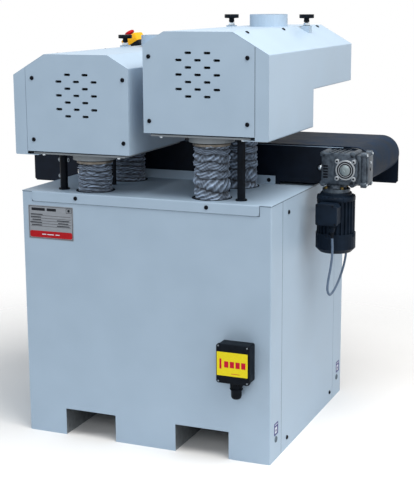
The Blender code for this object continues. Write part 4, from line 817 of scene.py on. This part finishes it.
def knobs(head):
    """The plastic caps of the two set knobs, with the nuts and washers that lock their screws."""
    for name in (f"infeed_{head}", f"outfeed_{head}"):
        knob = f"knob_{name}"
        centre, bottom = middle(knob), low(knob).z
        tall = high(knob).z - bottom
        seat = high(f"front_cover_{head}").z + 3
        neck = seat + 11.5 - bottom
        profile = [(0, 0), (6, 0), (6, neck), (9.8, neck + 0.2), (10, neck + 4), (9.3, neck + 10),
                   (9.8, tall - 14), (22.5, tall - 13.6), (25.2, tall - 12.8), (25.8, tall - 11.2),
                   (25.8, tall - 1.4), (25, tall - 0.2), (10, tall), (0, tall)]
        cap = shifted(turned(profile, 40), centre.x, centre.y, bottom)
        piece(f"knob_cap_{name}", cap, BLACK, f"{knob}_body", replaces=[knob])
        washer = shifted(washer_ring(6.5, 12.5, 1.6), centre.x, centre.y, seat)
        piece(f"lock_washer_{name}", washer, BLACK_OXIDE, f"head_{head}")
        nut = shifted(hexagon(18.5, 8.2), centre.x, centre.y, seat + 1.6)
        piece(f"lock_nut_{name}", nut, ZINC, f"head_{head}")


# ---- terminal box, plate and stickers
def cable_gland(nut_radius, dome_radius, length):
    """Plastic gland hanging down from z = 0: ribbed nut, smooth dome and blanking plug."""
    steps = 80  # two on a rib of the nut and two in the groove beside it
    outline = []
    for i in range(steps):
        radius = nut_radius - (1.4 if i % 4 in (2, 3) else 0)
        a = 2 * pi * i / steps
        outline.append((radius * cos(a), radius * sin(a)))
    nut = shifted(plate(outline, 0.3 * length), 0, 0, -0.34 * length)
    sleeve = turned([(0, 0), (0.9 * nut_radius, 0), (0.9 * nut_radius, -0.05 * length),
                     (dome_radius, -0.34 * length), (dome_radius, -0.78 * length),
                     (0.95 * dome_radius, -0.89 * length), (0.82 * dome_radius, -0.97 * length),
                     (0.66 * dome_radius, -length), (0.3 * dome_radius, -length),
                     (0.28 * dome_radius, -0.96 * length), (0, -0.96 * length)], 32)
    ring = shifted(washer_ring(dome_radius - 1, nut_radius + 0.9, 3.2), 0, 0, -0.47 * length)
    return together([nut, sleeve, ring])


def terminal_box():
    """Moulded box with its cover, cover screws and gland."""
    cover_low, cover_high = low("terminal_box_lid"), high("terminal_box_lid")
    x, _, z = middle("terminal_box_lid")
    width, _, height = cover_high - cover_low
    face, seam = cover_low.y, cover_high.y
    shell = on_front(tile(width - 5, height - 5, 6, FRONT - seam), x, FRONT, z)
    underside = cover_low.z + 2.5
    gland = cable_gland(20.5, 17.6, underside - low("terminal_box").z)
    shifted(gland, x, (FRONT + seam) / 2, underside)
    piece("terminal_shell", together([shell, gland]), BLACK, replaces=["terminal_box"])
    cover = on_front(lid(rounded_rectangle(width, height, 8.5), seam - face, 2.2), x, seam, z)
    piece("terminal_cover", cover, BLACK, replaces=["terminal_box_lid"])
    corners = [(x + a * 49.5, z + b * 59) for a in (-1, 1) for b in (-1, 1)]
    wells = [on_front(washer_ring(3, 5.6, 0.6, 20), cx, face, cz) for cx, cz in corners]
    piece("terminal_screw_wells", together(wells), BLACK)
    spots = [((cx, face, cz), -Y) for cx, cz in corners]
    fasteners("terminal_screws", button_screw(3.2, 1.8), spots, DULL_ZINC)
    terminal_label(x, face, z)


def terminal_label(x, face, z):
    """Yellow plate with plain red bars."""
    backing = lid(rounded_rectangle(106, 79, 2), 0.5, 0.2, 1)
    piece("terminal_label", on_front(backing, x - 1.5, face, z), LABEL_YELLOW)
    marks = [(-41.5, 0, 7, 34)]
    marks += [(-21.5 + 19.5 * i, -1, 14.5, 21) for i in range(4)]
    marks.append((10, -31, 30, 1.6))
    bars = [on_front(tile(width, height, 0.7, 0.2, 2), x + dx, face - 0.5, z + dz)
            for dx, dz, width, height in marks]
    piece("terminal_label_marks", together(bars), LABEL_RED)


def rating_plate():
    """Name plate without any name: a frame line, a heading, an empty square, rows of bars and a red foot."""
    x, z, width, height = -341.5, 752, 173, 116
    face, film = FRONT - 0.8, 0.2
    sheet = lid(rounded_rectangle(width, height, 4), 0.8, 0.2, 1)
    piece("rating_plate", on_front(sheet, x, FRONT, z), PLATE)

    line, margin = 1.3, 3.5
    rows = [(0, height / 2 - margin, width - 6, line), (0, -height / 2 + margin, width - 6, line),
            (-width / 2 + margin, 0, line, height - 6), (width / 2 - margin, 0, line, height - 6)]
    heading = 44.5
    rows += [(-47.5, heading, 52, 9.5), (3.5, heading, 36, 9.5)]
    square, reach = 70, 7.5
    rows += [(square, heading + reach, 20, line), (square, heading - reach, 20, line),
             (square - 9.4, heading, line, 15), (square + 9.4, heading, line, 15), (square, heading, 9, 9)]
    for row in range(5):
        level = 27 - 9.2 * row
        rows += [(-54 - 3 * (row % 2), level, 46 - 6 * (row % 3), 3), (0, level - 3.6, 154, 1.1)]
        if row > 1:
            rows += [(48, level, 48 - 8 * (row % 2), 3)]
    bars = [on_front(tile(w, h, min(w, h) * 0.2, film, 2), x + dx, face, z + dz) for dx, dz, w, h in rows]
    piece("rating_plate_print", together(bars), INK)

    foot = z - 41
    piece("rating_plate_foot", on_front(tile(width - 10, 22.5, 6, film), x, face, foot), PLATE_RED)
    pale = [on_front(tile(wide, 3, 1, film, 2), x + dx, face - film, foot)
            for dx, wide in ((-27, 16), (-2, 26), (25, 16))]
    piece("rating_plate_foot_bar", together(pale), STICKER_WHITE)
    rivet = turned([(0, 0.9), (1, 0.8), (1.6, 0.4), (1.8, 0), (0, 0)], 16)
    across, up = width / 2 - 6.2, height / 2 - 6.2
    spots = [((x + a * across, face, z + b * up), -Y) for a in (-1, 1) for b in (-1, 1)]
    fasteners("rating_plate_rivets", rivet, spots, DULL_ZINC)


def stickers():
    """Narrow plain stickers beside the lifting holes of the right side, and the plugs of the holes."""
    film = 0.2
    for label, y, z, hole_y in (("front", 58.6, 106.5, 56), ("rear", 767, 109, 754)):
        place = facing((SIDE, FRONT + y, z), X, up=Z)
        backing = tile(40, 42, 2, 0.3, 3)
        piece(f"sticker_{label}", moved(backing, place), STICKER_PURPLE)
        fields = [shifted(tile(21, 21, 1, film, 3), -2, -4, 0.3),
                  shifted(tile(27, 3, 1, film, 3), 0, 14.5, 0.3)]
        piece(f"sticker_{label}_fields", moved(together(fields), place), STICKER_WHITE)
        bar = shifted(tile(9, 8, 1, film, 3), -2, -5, 0.5)
        piece(f"sticker_{label}_bar", moved(bar, place), STICKER_PURPLE)
        cap = [(0, 1.2), (7.2, 1.2), (8, 2.6), (9.8, 2.4), (11, 0), (0, 0)]
        cap = stood(turned(cap, 28), (SIDE, FRONT + hole_y, 71), X)
        piece(f"hole_plug_{label}", cap, PLUG)


def tube_flanges():
    """Collars on the lid round the cable tubes."""
    tubes = [middle(f"cable_tube_{head}") for head in HEADS]
    collars = [shifted(washer_ring(13.1, 19, 5), tube.x, tube.y, LID_TOP) for tube in tubes]
    piece("cable_tube_flanges", together(collars), BLACK)


# ---- conveyor details
def conveyor_bolts():
    front, rear = low("conveyor_plate_front").y, high("conveyor_plate_rear").y
    upper, lower = 904, 843.5
    spots = [((x, front, z), -Y) for x, z in ((-542.5, upper), (-507, upper), (-542.5, lower))]
    fasteners("conveyor_ear_bolts", hex_bolt(9, 5, 7.5), spots, DULL_ZINC)
    columns = [side * x for side in (-1, 1) for x in (542.5, 503)]
    spots = [((x, rear, z), Y) for x in columns for z in (upper, lower)]
    fasteners("conveyor_rear_bolts", hex_bolt(9, 5, 7.5), spots, DULL_ZINC)
    dome = turned([(0, 8.5), (4, 8), (7.5, 5.8), (9.2, 2.5), (9.5, 0), (0, 0)], 28)
    place = facing((477, front, 925.6), -Y)
    piece("bed_bolt", moved(dome, place), ZINC)
    piece("bed_bolt_washer", moved(washer_ring(9, 13.5, 2), place), BLACK)


def painted_edge_highlight():
    """Painted highlight along the upper edge of the front plate: a pale strip for the light that the edge
    catches.
    """
    front, top = low("conveyor_plate_front").y, high("conveyor_plate_front").z
    reach = middle("drive_roller").x
    trim = block((20 - reach, front + 0.3, top - 1.2), (reach - 35, front + 5.8, top + 1), 0.6, 1)
    piece("plate_painted_highlight", trim, EDGE_HIGHLIGHT)


# ---- feed drive
ROLLER, WORM = middle("drive_roller"), middle("feed_motor_cowl")
LEFT, FLANGE_FACE, NECK = low("gearbox_housing")
RIGHT, BACK, TOP = high("gearbox_housing")
FACE = FLANGE_FACE + 12
BOTTOM = 2 * ROLLER.z - TOP  # of the body, above the motor's neck
RIM = RIGHT - 22  # where the bearing end's rim starts
CORNER = 10.5  # radius of a corner boss, and how far in its middle is
BOSS_ROWS = (FACE + 11.5, BACK - 11.5)
SLOT_LEVELS = [ROLLER.z + 9.5 - 9.25 * i for i in range(5)]
EARS = [(ROLLER.x + a * 28.5, ROLLER.z + b * 28.5) for a in (-1, 1) for b in (-1, 1)]


def gearbox_casting():
    """Worm box: body, waist, bearing end, corner bosses, ribs, face pad, slots and the motor's neck."""
    waist = RIGHT - 40
    shapes = [
        block((LEFT + 4, FACE, BOTTOM + 5), (waist, BACK, TOP - 5), 6, 3),
        block((waist - 6, FACE + 9, BOTTOM + 11), (RIM + 6, BACK - 4, TOP - 11), 4),
        block((RIM, FACE + 3, BOTTOM + 6), (RIGHT - 5, BACK - 1, TOP - 6), 5, 3),
        block((RIGHT - 8, FACE + 12, BOTTOM + 14), (RIGHT, BACK - 10, TOP - 14), 3),
    ]
    for z in (BOTTOM + CORNER, TOP - CORNER):
        for x in (LEFT + CORNER, waist - CORNER):
            shapes.append(stood(rod(CORNER, BACK - FACE, 2), (x, BACK, z), -Y))
        for y in BOSS_ROWS:
            shapes.append(stood(rod(CORNER, 18.5, 2), (RIM, y, z), X))
    shapes.append(stood(rod(7.5, 12, 1.5), (RIGHT - 12, (FACE + BACK) / 2, ROLLER.z), X))
    for x in (LEFT + 30, LEFT + 47, LEFT + 64, LEFT + 82):
        for z in (TOP - 12, BOTTOM + 1.5):
            shapes.append(block((x, FACE + 4, z), (x + 4.5, BACK - 3, z + 10.5), 1.2))
    pad = lid(rounded_rectangle(80, 80, 16), 4.5, 1.5)
    shapes.append(on_front(pad, ROLLER.x, FACE + 0.5, ROLLER.z))
    proud, deep, edge = FACE - 1.4, FACE + 2, 0.6
    for z in [level + 4.6 for level in SLOT_LEVELS] + [SLOT_LEVELS[-1] - 4.6]:
        shapes.append(block((LEFT + 10.5, proud, z - 1.3), (LEFT + 30.5, deep, z + 1.3), edge))
    lowest, highest = SLOT_LEVELS[-1] - 5.9, SLOT_LEVELS[0] + 5.9
    for x in (LEFT + 10, LEFT + 29):
        shapes.append(block((x, proud, lowest), (x + 2.2, deep, highest), edge))
    neck = [(0, BOTTOM + 12), (34, BOTTOM + 12), (33, BOTTOM - 1), (36, NECK + 15), (45.5, NECK + 13.2),
            (47, NECK + 11.8), (47, NECK + 0.6), (46.4, NECK), (0, NECK)]
    shapes.append(shifted(turned(neck, 48), WORM.x, WORM.y, 0))
    piece("gearbox_casting", together(shapes), CAST, replaces=["gearbox_housing"])


def gearbox_flange():
    """Turned output flange with its ears and black seals, black strips of painted shade in the floors of the
    casting's slots, and small black discs on the ears.
    """
    # painted shade: black strips in the slot floors between the raised ribs
    darks = [block((LEFT + 11.5, FACE - 0.3, z - 3.6), (LEFT + 29.5, FACE + 1, z + 3.6))
             for z in SLOT_LEVELS]
    axis = (ROLLER.x, FACE, ROLLER.z)
    for inner, outer in ((18.2, 21.5), (24.5, 27.9)):
        darks.append(stood(washer_ring(inner, outer, 9.5), axis, -Y))
    darks += [stood(rod(3.4, 0.4, sides=16), (x, FACE - 11.9, z), -Y) for x, z in EARS]
    piece("gearbox_seals_and_groove_shade", together(darks), BLACK)
    ring = [(21.5, 0), (33.5, 0), (33.5, 11.2), (32.8, 11.9), (28.4, 11.9), (27.8, 7), (24.6, 7), (24, 11.8),
            (21.5, 11.8), (21.5, 0)]
    flange = [stood(turned(ring, 56), axis, -Y)]
    flange += [stood(rod(8.2, 11.9, 1), (x, FACE, z), -Y) for x, z in EARS]
    piece("gearbox_output_flange", together(flange), TURNED)
    disc = [(0, 0.2), (2.2, 0.2), (3, 1), (16.5, 1), (17.6, 0.4), (17.8, -1), (0, -1)]
    end = stood(turned(disc, 40), (ROLLER.x, low("drive_roller").y, ROLLER.z), -Y)
    piece("roller_shaft_end", end, STEEL_DISC, "drive_roller_body")


def gearbox_bolts():
    """Bolts that hold the motor on the neck, and those of the bearing end's cover."""
    around = [(x, y) for y in (-28.5, 28.5) for x in (-27.5, 27.5)]
    spots = [((WORM.x + x, WORM.y + y, NECK + 12.8), Z) for x, y in around]
    fasteners("gearbox_input_bolts", hex_bolt(10, 6.5, 7.5), spots, YELLOW_ZINC)
    spots = [((RIGHT - 3.5, y, z), X) for y in BOSS_ROWS for z in (BOTTOM + CORNER, TOP - CORNER)]
    spots.append(((RIGHT - 0.6, (FACE + BACK) / 2, ROLLER.z + 22), X))
    fasteners("gearbox_cover_bolts", hexagon(8, 3.4), spots, ZINC)


def round_motor(angle, radius, z):
    """Four (point, direction) places at a radius from the motor's axis, the first at an angle."""
    angles = [radians(angle + 90 * turn) for turn in range(4)]
    ways = [Vector((cos(a), sin(a), 0)) for a in angles]
    return [(Vector((WORM.x, WORM.y, z)) + radius * way, way) for way in ways]


def feed_motor():
    """The motor's end shield with its bosses, the cowl's lugs and screws, and the rings of its grille."""
    top = high("feed_motor").z
    shield = [(50, top - 26.5), (64.8, top - 26.5), (65.5, top - 25.5), (65.5, top - 15), (63.5, top - 12),
              (56, top - 8.5), (53, top - 8), (53, top - 1.8), (51.5, top - 0.4), (40, top - 0.4),
              (40, top - 26.5), (50, top - 26.5)]
    shapes = [shifted(turned(shield, 64), WORM.x, WORM.y, 0)]
    shapes += [stood(block((-9, -15, 0), (9, 0.5, 4.2), 1.8), point, way, up=Z)
               for point, way in round_motor(45, 62.5, top - 12.5)]
    cowl_top = high("feed_motor_cowl").z
    lug_angle = -10
    shapes += [stood(block((-6, -11, -1), (6, 3.5, 2.4), 1.2), point, way, up=Z)
               for point, way in round_motor(lug_angle, 68, cowl_top)]
    piece("motor_shield", together(shapes), MOTOR)
    spots = round_motor(lug_angle, 70.2, cowl_top - 4.5)
    fasteners("cowl_screws", button_screw(2.8, 1.6), spots, BLACK_OXIDE)
    grille_low = low("feed_motor_cowl").z - 0.5
    rings = [shifted(washer_ring(r, r + 3.2, 0.8, 48), WORM.x, WORM.y, grille_low)
             for r in (17, 25, 33, 41)]
    piece("cowl_grille", together(rings), BLACK)


def motor_box():
    """Cast connection box on the motor, one corner of its cover cut off, with a gasket, screws and gland."""
    box_low, box_high = low("feed_motor_box"), high("feed_motor_box")
    base = box_low.z + 25
    x, z = (box_low.x + box_high.x) / 2, (base + box_high.z) / 2
    w, h = (box_high.x - box_low.x) / 2, (box_high.z - base) / 2

    def outline(inset):
        cut = 12
        corners = rounded_rectangle(2 * w, 2 * h, 4.5, 4)[5:] + [(w, h - cut), (w - cut, h)]
        return [(px * (1 - inset / w), py * (1 - inset / h)) for px, py in corners]

    depth, cover_depth = box_high.y - box_low.y, 13.5
    shell = on_front(lid(outline(1.4), depth - 15, 0.8, 2), x, box_high.y, z)
    gasket = on_front(plate(outline(3), depth - cover_depth), x, box_high.y, z)
    cover = on_front(lid(outline(0), cover_depth, 2.2), x, box_low.y + cover_depth, z)
    gland = shifted(cable_gland(11, 10, 25), GLAND.x, GLAND.y, base)
    shapes = together([shell, gasket, cover, gland])
    piece("motor_box_shell", shapes, MOTOR, replaces=["feed_motor_box"])
    corners = ((-30.5, 30), (30.5, -30), (-30.5, -30), (21.5, 30))
    spots = [((x + dx, box_low.y, z + dz), -Y) for dx, dz in corners]
    fasteners("motor_box_screws", button_screw(3, 1.6), spots, BLACK_OXIDE)


# ---- emergency stop
def stop_button():
    """Emergency stop: black base, yellow cover with its screws, collar and red cap."""
    out = Vector((-sin(SLOPE), 0, cos(SLOPE)))
    square, height, base_height = 70, 58, 26.5
    place = facing(middle("estop_box") - out * height / 2, out, up=Y)
    base = lid(rounded_rectangle(square - 2, square - 2, 6), base_height, 0.8, 2)
    piece("stop_base", moved(base, place), BLACK, "head_left")
    cover = lid(rounded_rectangle(square, square, 7), height - base_height, 5)
    shifted(cover, 0, 0, base_height)
    piece("stop_cover", moved(cover, place), YELLOW, "head_left", ["estop_box"])
    collar = [(10.2, 0), (16.5, 0), (16.5, 1.2), (14, 2.4), (10.2, 2.4), (10.2, 0)]
    collar = shifted(turned(collar, 40), 0, 0, height)
    piece("stop_collar", moved(collar, place), BLACK, "head_left")
    cap = [(0, -9), (9.8, -9), (9.8, 7.8), (13.5, 8.2), (18.5, 10.5), (19.5, 13.2), (19.5, 16), (18.6, 18.2),
           (16, 20.2), (11, 21.4), (5, 21.9), (0, 22)]
    cap = shifted(turned(cap, 48), 0, 0, height)
    piece("stop_cap", moved(cap, place), RED, "estop_button_body", ["estop_button"])
    reach = 27.5
    spots = [(place @ Vector((x, y, height - 0.1)), out) for x in (-reach, reach) for y in (-reach, reach)]
    fasteners("stop_cover_screws", button_screw(2.8, 1.2), spots, ZINC, "head_left")


# ---- building the scene
camera()
for lamp in LAMPS:
    softbox(*lamp)
sky()
paper_floor()
finish_nodes()
motor_lead()
for head, side in HEADS.items():
    bellows("bellows_front", head, side)
    bellows("bellows_rear", head, 3 + side)
cabinet_screws()
cabinet_seam_shade()
for head in HEADS:
    head_seam_shade(head)
    under_plate(head)
    vents(head)
    head_screws(head)
    knobs(head)
terminal_box()
rating_plate()
stickers()
tube_flanges()
conveyor_bolts()
painted_edge_highlight()
gearbox_casting()
gearbox_flange()
gearbox_bolts()
feed_motor()
motor_box()
stop_button()
bpy.context.scene.view_settings.view_transform = "Standard"
